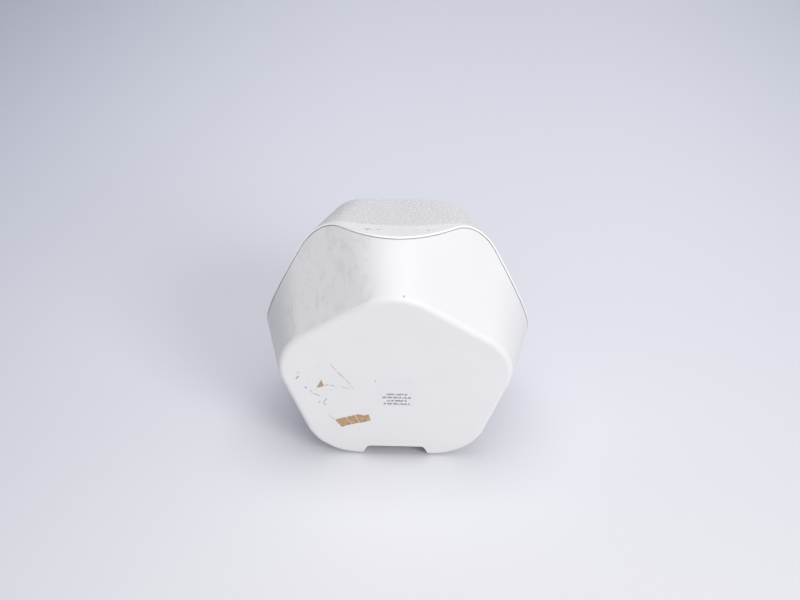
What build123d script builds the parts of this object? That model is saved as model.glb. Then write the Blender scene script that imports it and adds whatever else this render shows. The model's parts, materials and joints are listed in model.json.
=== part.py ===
from build123d import *
import math
import os

# A free-standing smart speaker. Its body is the common part of two rounded five-sided
# frustums that taper opposite ways along one axis and are turned 36 degrees to each other.
#
# Two frames are used, in millimetres:
#   axis frame      X right, Y up the rear face, Z from the rear face towards the fabric front
#   standing frame  X right, Y to the rear, Z up, on the lowest facet, origin at its rear edge

# ------------------------------------------------------------------ driving sizes: outer shape
body_depth = 131.0           # rear face to front face, along the axis
rear_apothem = 74.4          # middle of the rear face to the middle of one of its edges
rear_flare = 0.264           # growth of that apothem for each mm of depth
rear_corner_r = 38.5
rear_corner_growth = 0.361
front_apothem = 60.8         # the same for the front face
front_flare = 0.418
front_corner_r = 26.5
front_corner_growth = 0.074
rear_edge_r = 4.5            # rounding of the rear face's edge
front_edge_r = 9.5           # rounding of the front face's edge
fit_gap = 0.3                # clearance between parts that only lie beside each other
push_play = 0.05             # round a foot or post that is pushed into its socket
cut_reach = 8.0              # how far a cutting solid runs past what it cuts
run_gap = 0.15               # clearance round a sliding button

# ------------------------------------------------------------------ driving sizes: casing
wall = 3.0                   # rear housing
rim_edge = 1.0               # thickness of the front frame where it meets the seam
seam_gap = 0.6
gasket_play = 0.1            # left on each side of a soft strip
gasket_inset = 0.9           # how far the seam gasket lies below the surface
frame_wall = 2.6             # front frame's skin
strip_width = 20.5           # control strip, along the axis, at its widest
corner_rim = 1.6             # front frame between seam and fabric at the corners
seat_ring_t = 2.5            # conical ring behind the cover's edge
seat_ring_width = 12.26      # from the middle of a flat to its inner edge
crest_ring_t = 1.8           # what is left of it where it passes the housing's edge
tongue_t = 2.0               # locating tongue of the front frame, inside the housing
tongue_reach = 5.5
tongue_gap = 0.6

cover_gap = 0.5              # fabric cover's edge to the front frame, along the axis
cloth_t = 0.9
grille_t = 2.2
grille_hole_r = 4.2
grille_pitch = 10.6
grille_ring_count = 4        # rings of holes round the middle one
cover_boss_r = 4.7
cover_boss_circle_r = 56.0
magnet_disc_r = 3.5
magnet_disc_t = 2.5
magnet_gap = 0.4             # between the cover's magnets and the drum's

drum_wall = 3.0
drum_face_t = 4.0
grille_space = 27.0          # drum's front face to the body's front face
flange_t = 3.0
flange_overlap = 4.3         # drum's flange over the seat ring
drum_gasket = 1.0            # foam between flange and seat ring, along the axis
post_clearance = 1.2         # posts to the seat ring's inner edge
socket_depth = 1.0           # sockets in the rear wall for posts and standoffs
post_r = 3.8
post_thread = 12.0           # depth of their threaded holes
screw_r = 1.25
screw_head_r = 2.6
screw_head_h = 1.8
cross_slot_width = 0.7
cross_slot_depth = 0.9
cabinet_screw_length = 13.0
head_clearance = 0.9         # cabinet screws' heads to the drum
screw_play = 0.35            # round a screw's shaft where it only passes through

# ------------------------------------------------------------------ driving sizes: base
foot_height = 1.0
foot_recess = 1.6
foot_r = 3.5
foot_spread = 31.0
front_foot_spread = 17.0
rear_foot_back = 12.0        # from the rear edge of the base
front_foot_margin = 15.2     # from the front end of the base
bay_half_width = 26.0
bay_length = 34.0
bay_height = 30.0
tray_wall = 2.0
notch_base_width = 50.0
notch_top_width = 40.5
notch_height = 8.8
notch_corner_r = 3.4
connector_back = 21.0        # connectors' centre line, from the rear edge of the base
inlet_x = 12.0
inlet_width = 20.0
inlet_depth = 12.0
inlet_height = 14.0
inlet_slot_width = 14.6
inlet_slot_depth = 7.6
inlet_slot_height = 11.0
pin_spacing = 8.6
pin_r = 1.2
pin_setback = 1.5            # pins' ends inside the socket's mouth
pin_tail = 2.5               # pins above the socket's body
jack_x = -6.0
jack_spacing = 11.0
jack_body = 9.0
jack_body_height = 12.0
jack_nose_r = 3.9
jack_nose_drop = 1.8         # nose below the bay's ceiling
jack_bore_r = 1.78
jack_bore_length = 14.0
lip_t = 0.8
lip_width = 2.0

# ------------------------------------------------------------------ driving sizes: controls
button_x = 13.0              # inner pair of buttons, either side of the lights
button_step = 8.0            # inner pair to outer pair
button_shift = 3.2           # from the strip's reference line towards the fabric
button_length = 6.0
button_width = 4.4
button_lip = 0.8             # retaining lip round each cap, under the skin
button_lip_t = 0.7
button_travel = 0.5
stem_r = 1.5
stem_length = 4.4            # cap's top to stem's end
switch_size = 4.6
switch_height = 1.2
plunger_r = 1.0
plunger_height = 0.25
board_t = 1.6
button_board_length = 50.0
button_board_t = 1.2
button_board_screw_x = 6.9   # between the lights and the inner buttons
board_boss_r = 1.9
board_screw_r = 0.875
board_screw_head_r = 1.6
board_screw_head_h = 1.0
cap_edge_r = 0.4             # rounding of the buttons' caps
cap_skirt = 1.0              # cap below the frame's skin
lip_gap = 0.25               # lip below the skin, at rest
tongue_relief_r = 30.0       # tongue's gap at the top, where the button board is
button_board_front = 4.8
button_board_rear = 4.5
light_r = 0.6
light_spacing = 2.6

# ------------------------------------------------------------------ driving sizes: woofer
driver_gap = 1.7             # woofer's edge to the tweeter's plate
woofer_r = 48.0
woofer_rim = 8.0             # width of the basket's flange
woofer_flange_t = 2.5
woofer_gasket_t = 0.8
woofer_taper = 8.0            # basket's opening to its lower ring
woofer_throat_depth = 25.0   # basket's lower ring, behind the drum's face
basket_t = 1.6
top_plate_t = 5.0
magnet_t = 12.0
magnet_overhang = 3.0        # magnet's edge beyond the iron plates
plate_step = 3.0             # iron plates inside the lower ring
magnet_hole_r = 17.0
back_plate_t = 5.0
pole_r = 12.0
pole_vent_r = 4.0
coil_r = 12.4
former_t = 0.3
winding_t = 0.3
plate_clearance = 0.3
basket_bend_depth = 2.0      # basket's flange to the start of its cone
spider_shelf = 4.5           # width of the shelf that the spider is glued to
pole_clearance = 2.0         # basket's lower ring to the pole
window_width = 20.0          # openings in the basket's cone
window_margin = 8.0          # solid part of the cone above and below them
cone_neck_depth = 19.0       # cone's neck behind the drum's face
cone_rim_width = 2.0
dust_cap_rise = 5.0
dust_cap_t = 0.5
cap_foot_margin = 2.2        # dust cap's foot outside the voice coil
surround_lip = 2.4           # outer lip on the basket's flange
roll_span = 5.7              # cone's rim to the basket's opening
cone_t = 0.9
surround_roll_r = 3.0
surround_t = 0.5
spider_t = 0.4
spider_wave = 0.9
woofer_travel = 3.0
woofer_screw_inset = 2.7     # screws' axes from the flange's edge
terminal_width = 6.0         # tag board for the leads
terminal_height = 10.0
terminal_depth = 3.0
tag_spread = 3.2

# ------------------------------------------------------------------ driving sizes: tweeter
tweeter_room = 2.0           # tweeter's motor to the drum's wall
tweeter_plate_r = 12.8
tweeter_plate_length = 44.0
tweeter_plate_t = 2.0
tweeter_mouth_r = 10.0
tweeter_motor_r = 11.0
tweeter_motor_length = 16.0
tweeter_dome_r = 9.4
tweeter_dome_rise = 3.4
tweeter_dome_t = 0.35
tweeter_pole_r = 8.5
tweeter_coil_r = 8.9
tweeter_screw_spread = 17.6
tweeter_ear_inset = 3.0      # plate's ears are this much narrower than its disc, each side
tweeter_mouth_flare = 1.6
tweeter_cup_t = 4.0          # motor's bottom
tweeter_groove = 0.8         # cup's wall to the coil
tweeter_pole_drop = 1.4      # pole below the drum's face
tweeter_coil_t = 0.35
tweeter_coil_length = 5.5
tweeter_foot_drop = 0.5      # dome's foot below the drum's face

# ------------------------------------------------------------------ driving sizes: electronics
board_stand = 8.0            # boards' backs, above the rear wall's inner face
main_board_width = 80.0
main_board_height = 46.0
main_board_up = 31.0         # its centre above the axis
power_board_width = 58.0
power_board_height = 35.0
power_board_side = 31.0      # its centre to the left of the axis
power_board_drop = 14.5
board_screw_inset = 4.0
boss_r = 3.0                 # board standoffs
board_thread = 6.0           # depth of their threaded holes
heat_sink_width = 40.0
heat_sink_height = 22.0
heat_sink_depth = 15.0
fin_t = 1.4
fin_count = 8
heat_sink_base_t = 3.0
heat_sink_up = 4.0           # its centre above the main board's
chip_width = 14.0            # amplifier chip, square
chip_t = 2.0
processor_width = 12.0       # signal processor, square
processor_t = 1.4
processor_x = -27.0
processor_drop = 6.0         # its centre below the main board's
module_x = 28.0
module_up = 6.0
module_board_t = 0.9
module_shield_t = 1.8
coil_size = 8.0
coil_height = 6.0
coil_x = 17.0
coil_pitch = 10.5
coil_drop = 11.0
small_can_r = 4.0
small_can_height = 12.0
small_can_pitch = 10.0
small_can_x = -2.0           # the middle one of three
small_can_drop = 14.5
large_can_r = 6.0
large_can_height = 20.0
large_can_spread = 7.5
transformer_height = 20.0
mains_terminal_height = 6.0
board_screw_length = 6.6
wadding_width = 50.0
wadding_height = 34.0
wadding_t = 24.0
wadding_corner_r = 6.0
wadding_edge_r = 4.0
wadding_side = 6.0           # from the middle to its left end
lead_r = 1.5
lead_rise = 16.0             # leads stand up this far before they bend
label_width = 27.0
label_height = 29.0
label_t = 0.15
label_corner_r = 1.5
label_drop = 7.0

# ------------------------------------------------------------------ worked-out places
fifth = 72.0
half_corner = math.cos(math.radians(36))
lean = math.atan(rear_flare)
strip_angle = math.atan(front_flare)


def rear_apothem_at(depth):
    return rear_apothem + rear_flare * depth


def front_apothem_at(depth):
    return front_apothem + front_flare * (body_depth - depth)


def corner_reach(apothem, corner_r):
    """Distance from the middle of a rounded pentagon to the middle of a corner."""
    return (apothem - corner_r) / half_corner + corner_r


def rear_reach_at(depth):
    return corner_reach(rear_apothem_at(depth), rear_corner_r + rear_corner_growth * depth)


def front_reach_at(depth):
    return corner_reach(front_apothem_at(depth), front_corner_r + front_corner_growth * (body_depth - depth))


def crossing(inner, outer):
    """Depth at which a surface that grows with depth meets one that shrinks, both straight."""
    start_gap = outer(0) - inner(0)
    end_gap = outer(body_depth) - inner(body_depth)
    return body_depth * start_gap / (start_gap - end_gap)


ridge_low = crossing(rear_reach_at, front_apothem_at)     # ridge at the middle of the strip
ridge_high = crossing(rear_apothem_at, front_reach_at)    # ridge at a corner of the front
seat_low = ridge_low + strip_width
seat_high = ridge_high + corner_rim
seat_low_r = front_apothem_at(seat_low)
seat_slope = (front_reach_at(seat_high) - seat_low_r) / (seat_high - seat_low)


def seat_depth(radius):
    """Depth at which the cover's conical seat has this radius."""
    return seat_low + (radius - seat_low_r) / seat_slope


seat_ring_r = seat_low_r - seat_ring_width
flange_r = seat_ring_r + flange_overlap
post_circle_r = seat_ring_r - post_clearance - post_r
drum_r = post_circle_r - screw_head_r - head_clearance
tweeter_rise = drum_r - drum_wall - tweeter_room - tweeter_motor_r
woofer_drop = woofer_r + driver_gap + tweeter_plate_r - tweeter_rise
woofer_opening_r = woofer_r - woofer_rim
woofer_screw_circle_r = woofer_r - woofer_screw_inset
woofer_throat_r = woofer_opening_r - woofer_taper
cone_r = woofer_opening_r - roll_span
plate_r = woofer_throat_r - plate_step
magnet_r = plate_r + magnet_overhang

flange_front = seat_depth(flange_r)
flange_back = flange_front - flange_t
drum_front = body_depth - grille_space
cover_seat = drum_front + magnet_gap
woofer_seat = drum_front + woofer_gasket_t
woofer_front = woofer_seat + woofer_flange_t
top_plate_front = drum_front - woofer_throat_depth - basket_t * 2
magnet_front = top_plate_front - top_plate_t
back_plate_front = magnet_front - magnet_t
board_back = wall + board_stand
board_front = board_back + board_t
transformer_x = -power_board_side - 11
capacitor_x = -power_board_side + 12
mains_terminal_x = -power_board_side + 24.5
mains_terminal_y = -power_board_drop + 1.5
button_board_top = stem_length + button_travel + plunger_height + switch_height + 0.05

axis_frame = Plane(
    origin=(0, rear_apothem * math.sin(lean), rear_apothem * math.cos(lean)),
    x_dir=(1, 0, 0),
    z_dir=(0, -math.cos(lean), math.sin(lean)),
)
strip_reference = ridge_low + strip_width / 2
strip_plane = Plane(
    origin=(0, front_apothem_at(strip_reference), strip_reference),
    x_dir=(1, 0, 0),
    z_dir=(0, math.cos(strip_angle), math.sin(strip_angle)),
)
from_bottom = (Align.CENTER, Align.CENTER, Align.MIN)
from_top = (Align.CENTER, Align.CENTER, Align.MAX)


def on_axis(shape):
    """From the axis frame to the standing frame."""
    return axis_frame.location * shape


def on_strip(shape):
    """From the control strip's plane (Z outward) to the standing frame."""
    return on_axis(strip_plane.location * shape)


# ------------------------------------------------------------------ building blocks
def rounded_pentagon(apothem, corner_r, corner_up):
    outline = RegularPolygon(apothem, 5, major_radius=False, rotation=90 if corner_up else -90)
    return fillet(outline.vertices(), corner_r)


def rear_section(depth, inset):
    shrink = inset * math.hypot(1, rear_flare)
    corner = rear_corner_r + rear_corner_growth * depth
    return Pos(0, 0, depth) * rounded_pentagon(rear_apothem_at(depth) - shrink, corner - shrink, True)


def front_section(depth, inset):
    shrink = inset * math.hypot(1, front_flare)
    corner = front_corner_r + front_corner_growth * (body_depth - depth)
    return Pos(0, 0, depth) * rounded_pentagon(front_apothem_at(depth) - shrink, corner - shrink, False)


def rear_frustum(inset=0.0, start=0.0, end=body_depth):
    return loft([rear_section(start, inset), rear_section(end, inset)], ruled=True)


def front_frustum(inset=0.0, start=0.0, end=body_depth):
    return loft([front_section(start, inset), front_section(end, inset)], ruled=True)


def front_dome(inset, start):
    """Front frustum with a rounded front edge, every surface moved in by the inset."""
    end = body_depth - inset
    solid = front_frustum(inset, start, end)
    return fillet(solid.edges().group_by(Axis.Z)[-1], front_edge_r - inset)


def inside_seat(shift):
    """Everything inside the cover's conical seat, moved forward by the shift."""
    start = flange_back - 2 * cut_reach
    end = body_depth + cut_reach
    start_r = seat_low_r + seat_slope * (start - shift - seat_low)
    end_r = seat_low_r + seat_slope * (end - shift - seat_low)
    return Pos(0, 0, start) * Cone(start_r, end_r, end - start, align=from_bottom)


def ring(outer_r, inner_r, bottom, top):
    height = top - bottom
    tube = Cylinder(outer_r, height, align=from_bottom) - Cylinder(inner_r, height, align=from_bottom)
    return Pos(0, 0, bottom) * tube


def disc(radius, bottom, top):
    return Pos(0, 0, bottom) * Cylinder(radius, top - bottom, align=from_bottom)


def block(x, y, bottom, width, height, thickness):
    """A box whose centre is at X, Y and which rises from the bottom."""
    return Pos(x, y, bottom) * Box(width, height, thickness, align=from_bottom)


def turned(points):
    """Revolves an outline of (radius, height) points about the Z axis."""
    outline = Polyline(*[(radius, 0, height) for radius, height in points], close=True)
    return revolve(make_face(outline), Axis.Z)


def screw(length, top):
    """A pan-head screw whose head rests at this height, with a cross slot in the head."""
    body = disc(screw_head_r, top, top + screw_head_h) + disc(screw_r, top - length, top)
    slot = Box(screw_head_r * 1.3, cross_slot_width, cross_slot_depth, align=from_top)
    slots = Pos(0, 0, top + screw_head_h) * (slot + Rot(0, 0, 90) * slot)
    return body - slots


def spread(shape, places):
    """One copy of the shape at each place, as separate solids."""
    return [place * shape for place in places]


def group(shapes):
    return Compound(children=[solid for shape in shapes for solid in shape.solids()])


def slot_prism(length, width, bottom, top):
    return Pos(0, 0, bottom) * extrude(SlotOverall(length, width), top - bottom)


def lead(points):
    """A round lead along straight runs that tangent arcs join."""
    radii = []
    for before, corner, after in zip(points, points[1:], points[2:]):
        arriving = Vector(*corner) - Vector(*before)
        leaving = Vector(*after) - Vector(*corner)
        half_turn = math.radians(arriving.get_angle(leaving)) / 2
        radii.append(0.45 * min(arriving.length, leaving.length) / math.tan(half_turn))
    path = FilletPolyline(*points, radius=radii)
    start = Plane(origin=points[0], z_dir=Vector(*points[1]) - Vector(*points[0]))
    print("lead length %.1f mm, radii %s" % (path.length, [round(r, 1) for r in radii]))
    return sweep(start * Circle(lead_r), path=path)


# ------------------------------------------------------------------ places that repeat
def post_places():
    return [Rot(0, 0, fifth * turn) * Pos(0, post_circle_r, 0) for turn in range(5)]


def cover_boss_places():
    """Four of the front's corners; the lowest one is left to the woofer."""
    angles = [36 + fifth * turn for turn in range(5)]
    return [Rot(0, 0, angle) * Pos(0, cover_boss_circle_r, 0) for angle in angles if round(angle) != 180]


def woofer_screw_places():
    return [Rot(0, 0, 30 + 60 * turn) * Pos(0, woofer_screw_circle_r, 0) for turn in range(6)]


def tweeter_screw_places():
    return [Pos(side * tweeter_screw_spread, 0, 0) for side in (-1, 1)]


def corner_places(centre_x, centre_y, width, height, inset):
    half_width = width / 2 - inset
    half_height = height / 2 - inset
    return [
        Pos(centre_x + across * half_width, centre_y + up * half_height, 0)
        for across in (-1, 1)
        for up in (-1, 1)
    ]


def main_board_places():
    return corner_places(0, main_board_up, main_board_width, main_board_height, board_screw_inset)


def power_board_places():
    return corner_places(
        -power_board_side, -power_board_drop, power_board_width, power_board_height, board_screw_inset
    )


def button_board_places():
    return [Pos(side * button_board_screw_x, 0, 0) for side in (-1, 1)]


button_names = {
    "power_button": button_x,
    "pairing_button": button_x + button_step,
    "volume_down_button": -button_x,
    "volume_up_button": -button_x - button_step,
}


def foot_places():
    rear = [Pos(side * foot_spread, -rear_foot_back, 0) for side in (-1, 1)]
    base_length = ridge_high / math.cos(lean)
    front = [Pos(side * front_foot_spread, front_foot_margin - base_length, 0) for side in (-1, 1)]
    return rear + front


def at_woofer(shape):
    return Pos(0, -woofer_drop, 0) * shape


def at_tweeter(shape):
    return Pos(0, tweeter_rise, 0) * shape


def behind_rear_wall(offset):
    """Everything at least this far behind the rear face, in the standing frame."""
    span = 4 * body_depth
    return on_axis(Pos(0, 0, offset) * Box(span, span, span, align=from_bottom))


# ------------------------------------------------------------------ casing
def notch_cut():
    """The cable notch at the bottom of the rear face, in the standing frame."""
    start_y = rear_edge_r + cut_reach
    start = Plane(origin=(0, start_y, 0), x_dir=(1, 0, 0), z_dir=(0, -1, 0))
    outline = make_face(
        Polyline(
            (-notch_base_width / 2, -foot_height),
            (notch_base_width / 2, -foot_height),
            (notch_top_width / 2, notch_height),
            (-notch_top_width / 2, notch_height),
            close=True,
        )
    )
    top_corners = outline.vertices().group_by(Axis.Y)[-1]
    outline = fillet(top_corners, notch_corner_r)
    return extrude(start * outline, start_y + wall + 2 * tray_wall)


def make_rear_housing():
    shell = rear_frustum()
    shell = fillet(shell.edges().group_by(Axis.Z)[0], rear_edge_r)
    shell = shell & front_frustum(rim_edge + seam_gap)
    shell = shell - inside_seat(-crest_ring_t - fit_gap)
    shell = shell - rear_frustum(wall, start=wall)
    for place in post_places():
        shell = shell - place * disc(post_r + push_play, wall - socket_depth, wall)
    for place in main_board_places() + power_board_places():
        shell = shell - place * disc(boss_r + push_play, wall - socket_depth, wall)
    shell = on_axis(shell)
    floor_cut = Pos(0, -bay_length, 0) * Box(
        2 * bay_half_width, bay_length, 3 * wall, align=(Align.CENTER, Align.MIN, Align.CENTER)
    )
    shell = shell - (floor_cut & behind_rear_wall(wall + tray_wall)) - notch_cut()
    for place in foot_places():
        shell = shell - place * disc(foot_r, -wall, foot_recess)
    return shell


def threaded_post(radius, top, thread):
    """A post from its socket in the rear wall to this depth, with a hole for a screw."""
    return disc(radius, wall - socket_depth, top) - disc(screw_r, top - thread, top)


def make_cabinet_posts():
    """Five posts under the drum's flange and eight shorter standoffs under the boards."""
    post = threaded_post(post_r, flange_back, post_thread)
    standoff = threaded_post(boss_r, board_back, board_thread)
    posts = spread(post, post_places())
    standoffs = spread(standoff, main_board_places() + power_board_places())
    return group([on_axis(one) for one in posts + standoffs])


def housing_room():
    """The space inside the seam line that belongs to the housing's wall."""
    return front_frustum(rim_edge) - rear_frustum(wall + fit_gap) - inside_seat(-crest_ring_t)


def make_front_frame():
    body = rear_frustum() & front_frustum()
    skin = body - front_frustum(frame_wall) - inside_seat(0)
    seat = body & (inside_seat(-seat_ring_t) - inside_seat(0))
    seat = seat - disc(seat_ring_r, 0, body_depth)
    tongue = rear_frustum(wall + tongue_gap) - rear_frustum(wall + tongue_gap + tongue_t)
    tongue = tongue & (front_frustum(rim_edge) - front_frustum(rim_edge + tongue_reach)) - inside_seat(0)
    tongue = tongue - Pos(0, rear_apothem, 0) * disc(tongue_relief_r, 0, body_depth)
    frame = skin + seat + tongue - housing_room()
    for place in button_board_places():
        boss = place * disc(board_boss_r, -button_board_top, -frame_wall / 2)
        frame = frame + strip_plane.location * boss
    for place in button_board_places():
        hole = place * disc(board_screw_r, -button_board_top, -frame_wall)
        frame = frame - strip_plane.location * hole
    for x in button_names.values():
        opening = slot_prism(
            button_length + 2 * run_gap, button_width + 2 * run_gap, -2 * frame_wall, frame_wall
        )
        frame = frame - strip_plane.location * Pos(x, -button_shift, 0) * opening
    for step in (-1, 0, 1):
        hole = Pos(step * light_spacing, -button_shift, 0) * disc(light_r, -button_board_top, frame_wall)
        frame = frame - strip_plane.location * hole
    return on_axis(frame)


def make_seam_gasket():
    layer = front_frustum(rim_edge + gasket_play) - front_frustum(rim_edge + seam_gap - gasket_play)
    layer = layer & (rear_frustum(gasket_inset) - rear_frustum(wall))
    return on_axis(layer - inside_seat(-crest_ring_t - gasket_play))


def make_baffle_drum():
    drum = ring(drum_r, drum_r - drum_wall, flange_back, drum_front - drum_face_t)
    flange = disc(flange_r + flange_overlap, flange_back, flange_front) & inside_seat(drum_gasket)
    flange = flange - disc(drum_r - drum_wall, flange_back, flange_front)
    drum = drum + flange
    for place in post_places():
        drum = drum - place * disc(screw_r + screw_play, flange_back, flange_front)
    return on_axis(drum)


def make_baffle_board():
    """The flat board that closes the drum's front and carries both drivers."""
    back = drum_front - drum_face_t
    board = disc(drum_r, back, drum_front)
    board = board - at_woofer(disc(woofer_opening_r + basket_bend_depth, back, drum_front))
    board = board - at_tweeter(disc(tweeter_motor_r + fit_gap, back, drum_front))
    for place in woofer_screw_places():
        board = board - at_woofer(place * disc(screw_r, back, drum_front))
    for place in tweeter_screw_places():
        board = board - at_tweeter(place * disc(screw_r, back, drum_front))
    for place in cover_boss_places():
        board = board - place * disc(magnet_disc_r, drum_front - magnet_disc_t, drum_front)
    return on_axis(board)


def make_drum_gasket():
    layer = inside_seat(gasket_play) - inside_seat(drum_gasket - gasket_play)
    return on_axis(layer & disc(flange_r + flange_overlap, flange_back, flange_front))


def make_keeper_magnets():
    magnet = disc(magnet_disc_r, drum_front - magnet_disc_t, drum_front)
    return group([on_axis(one) for one in spread(magnet, cover_boss_places())])


def make_cabinet_screws():
    one = screw(cabinet_screw_length, flange_front)
    return group([on_axis(place * one) for place in post_places()])


# ------------------------------------------------------------------ fabric cover
def cover_layer(outer_inset, inner_inset):
    start = flange_back - cut_reach
    layer = front_dome(outer_inset, start) - front_dome(inner_inset, start - cut_reach)
    return layer & inside_seat(cover_gap)


def make_grille_cloth():
    return on_axis(cover_layer(0.0, cloth_t))


def grille_holes():
    inner_reach = front_apothem - front_edge_r - grille_hole_r
    spots = [
        spot
        for spot in HexLocations(grille_pitch / 2, 2 * grille_ring_count + 1, 2 * grille_ring_count + 1)
        if spot.position.length < inner_reach
    ]
    bosses = [place.position for place in cover_boss_places()]
    clear = cover_boss_r + grille_hole_r + cloth_t
    return [spot for spot in spots if all((spot.position - boss).length > clear for boss in bosses)]


def make_grille_frame():
    frame = cover_layer(cloth_t, cloth_t + grille_t)
    inner_face = body_depth - cloth_t - grille_t
    for place in cover_boss_places():
        frame = frame + place * disc(cover_boss_r, cover_seat, inner_face + grille_t / 2)
    for place in cover_boss_places():
        frame = frame - place * disc(magnet_disc_r, cover_seat, cover_seat + magnet_disc_t)
    hole = disc(grille_hole_r, inner_face - grille_t, body_depth)
    frame = frame - [spot * hole for spot in grille_holes()]
    return on_axis(frame)


def make_cover_magnets():
    magnet = disc(magnet_disc_r, cover_seat, cover_seat + magnet_disc_t)
    return group([on_axis(one) for one in spread(magnet, cover_boss_places())])


# ------------------------------------------------------------------ base and connections
def make_base_feet():
    foot = disc(foot_r - push_play, -foot_height, foot_recess)
    return group(spread(foot, foot_places()))


def bay_box(side, bottom, top):
    """A box round the connection bay, wider than the bay by this much on each side."""
    return Pos(0, -bay_length - side, bottom) * Box(
        2 * (bay_half_width + side), bay_length + 2 * tray_wall, top - bottom,
        align=(Align.CENTER, Align.MIN, Align.MIN),
    )


def make_connection_tray():
    """The bay's four walls."""
    room = on_axis(rear_frustum(wall + gasket_play, start=wall))
    tray = bay_box(tray_wall, 0, bay_height) & room
    tray = tray - (bay_box(0, 0, 2 * bay_height) & behind_rear_wall(wall + tray_wall))
    return tray - notch_cut()


def make_connection_plate():
    """The flat plate that closes the bay and carries its sockets."""
    room = on_axis(rear_frustum(wall + gasket_play, start=wall))
    high = bay_height + tray_wall
    plate = bay_box(tray_wall, bay_height, high) & room
    plate = plate - block(inlet_x, -connector_back, bay_height, inlet_width, inlet_depth, tray_wall)
    for x in jack_places():
        plate = plate - Pos(x, -connector_back, 0) * disc(jack_nose_r, bay_height, high)
    return plate


def jack_places():
    return [jack_x, jack_x - jack_spacing]


def make_mains_inlet():
    mouth = bay_height - lip_t
    top = bay_height + inlet_height
    body = block(0, 0, mouth, inlet_width, inlet_depth, top - mouth)
    body = body + block(0, 0, mouth, inlet_width + 2 * lip_width, inlet_depth + 2 * lip_width, lip_t)
    body = body - slot_prism(inlet_slot_width, inlet_slot_depth, mouth, mouth + inlet_slot_height)
    for side in (-1, 1):
        body = body - Pos(side * pin_spacing / 2, 0, 0) * disc(pin_r, mouth, top)
    return Pos(inlet_x, -connector_back, 0) * body


def make_inlet_pins():
    mouth = bay_height - lip_t
    pin = disc(pin_r, mouth + pin_setback, bay_height + inlet_height + pin_tail)
    pin = chamfer(pin.edges().group_by(Axis.Z)[0], pin_r * 0.4)
    sides = [Pos(inlet_x + side * pin_spacing / 2, -connector_back, 0) for side in (-1, 1)]
    return group(spread(pin, sides))


def make_jack(x):
    mouth = bay_height - jack_nose_drop
    shelf = bay_height + tray_wall
    body = disc(jack_nose_r, mouth, shelf) + block(0, 0, shelf, jack_body, jack_body, jack_body_height)
    body = body - disc(jack_bore_r, mouth, mouth + jack_bore_length)
    return Pos(x, -connector_back, 0) * body


# ------------------------------------------------------------------ controls
def make_button(x):
    cap = slot_prism(button_length, button_width, -frame_wall - cap_skirt, 0)
    cap = fillet(cap.edges().group_by(Axis.Z)[-1], cap_edge_r)
    lip_top = -frame_wall - lip_gap
    lip_length = button_length + 2 * button_lip
    lip_width_across = button_width + 2 * button_lip
    lip = slot_prism(lip_length, lip_width_across, lip_top - button_lip_t, lip_top)
    stem = disc(stem_r, -stem_length, -frame_wall)
    return on_strip(Pos(x, -button_shift, 0) * (cap + lip + stem))


def make_button_board():
    width = button_board_front + button_board_rear
    middle = (button_board_rear - button_board_front) / 2
    under = -button_board_top - button_board_t
    board = block(0, middle, under, button_board_length, width, button_board_t)
    for place in button_board_places():
        board = board - place * disc(board_screw_r + run_gap, under, -button_board_top)
    return on_strip(board)


def make_button_switches():
    switch = block(0, 0, -button_board_top, switch_size, switch_size, switch_height)
    plunger_top = -button_board_top + switch_height + plunger_height
    switch = switch + disc(plunger_r, -button_board_top, plunger_top)
    places = [Pos(x, -button_shift, 0) for x in button_names.values()]
    return group([on_strip(one) for one in spread(switch, places)])


def button_board_screws():
    under = -button_board_top - button_board_t
    head = disc(board_screw_head_r, under - board_screw_head_h, under)
    shaft = disc(board_screw_r, under, -frame_wall - cap_skirt)
    return [on_strip(place * (head + shaft)) for place in button_board_places()]


def make_status_lights():
    pipe = disc(light_r, -button_board_top, 0)
    places = [Pos(step * light_spacing, -button_shift, 0) for step in (-1, 0, 1)]
    return group([on_strip(one) for one in spread(pipe, places)])


# ------------------------------------------------------------------ woofer
def make_woofer_basket():
    back = drum_front - woofer_throat_depth
    shelf = back + basket_t
    outer_top = woofer_opening_r + basket_t
    lower_r = woofer_throat_r - basket_t
    basket = turned(
        [
            (woofer_r, woofer_seat),
            (woofer_r, woofer_front),
            (woofer_opening_r, woofer_front),
            (woofer_opening_r, woofer_seat - basket_bend_depth),
            (lower_r, shelf),
            (lower_r - spider_shelf, shelf),
            (lower_r - spider_shelf, back),
            (pole_r + pole_clearance, back),
            (pole_r + pole_clearance, back - basket_t),
            (woofer_throat_r, back - basket_t),
            (woofer_throat_r, shelf),
            (outer_top, woofer_seat - basket_bend_depth),
            (outer_top, woofer_seat),
        ]
    )
    seat = ring(plate_r, pole_r + pole_clearance, top_plate_front, back - basket_t)
    basket = basket + seat
    window_height = woofer_throat_depth - window_margin
    window_base = shelf + window_margin / 4
    for turn in range(6):
        window = block(woofer_opening_r, 0, window_base, 2 * woofer_taper, window_width, window_height)
        basket = basket - Rot(0, 0, 60 * turn) * window
    for place in woofer_screw_places():
        basket = basket - place * disc(screw_r, woofer_seat, woofer_front)
    return on_axis(at_woofer(basket))


def make_woofer_gasket():
    gasket = ring(woofer_r, woofer_opening_r + basket_bend_depth, drum_front, woofer_seat)
    for place in woofer_screw_places():
        gasket = gasket - place * disc(screw_r, drum_front, woofer_seat)
    return on_axis(at_woofer(gasket))


def make_woofer_top_plate():
    bore = coil_r + former_t + winding_t + plate_clearance
    return on_axis(at_woofer(ring(plate_r, bore, magnet_front, top_plate_front)))


def make_woofer_magnet():
    return on_axis(at_woofer(ring(magnet_r, magnet_hole_r, back_plate_front, magnet_front)))


def make_woofer_back_plate():
    plate = disc(plate_r, back_plate_front - back_plate_t, back_plate_front)
    pole = disc(pole_r, back_plate_front, top_plate_front)
    vent = disc(pole_vent_r, back_plate_front - back_plate_t, top_plate_front)
    return on_axis(at_woofer(plate + pole - vent))


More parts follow.
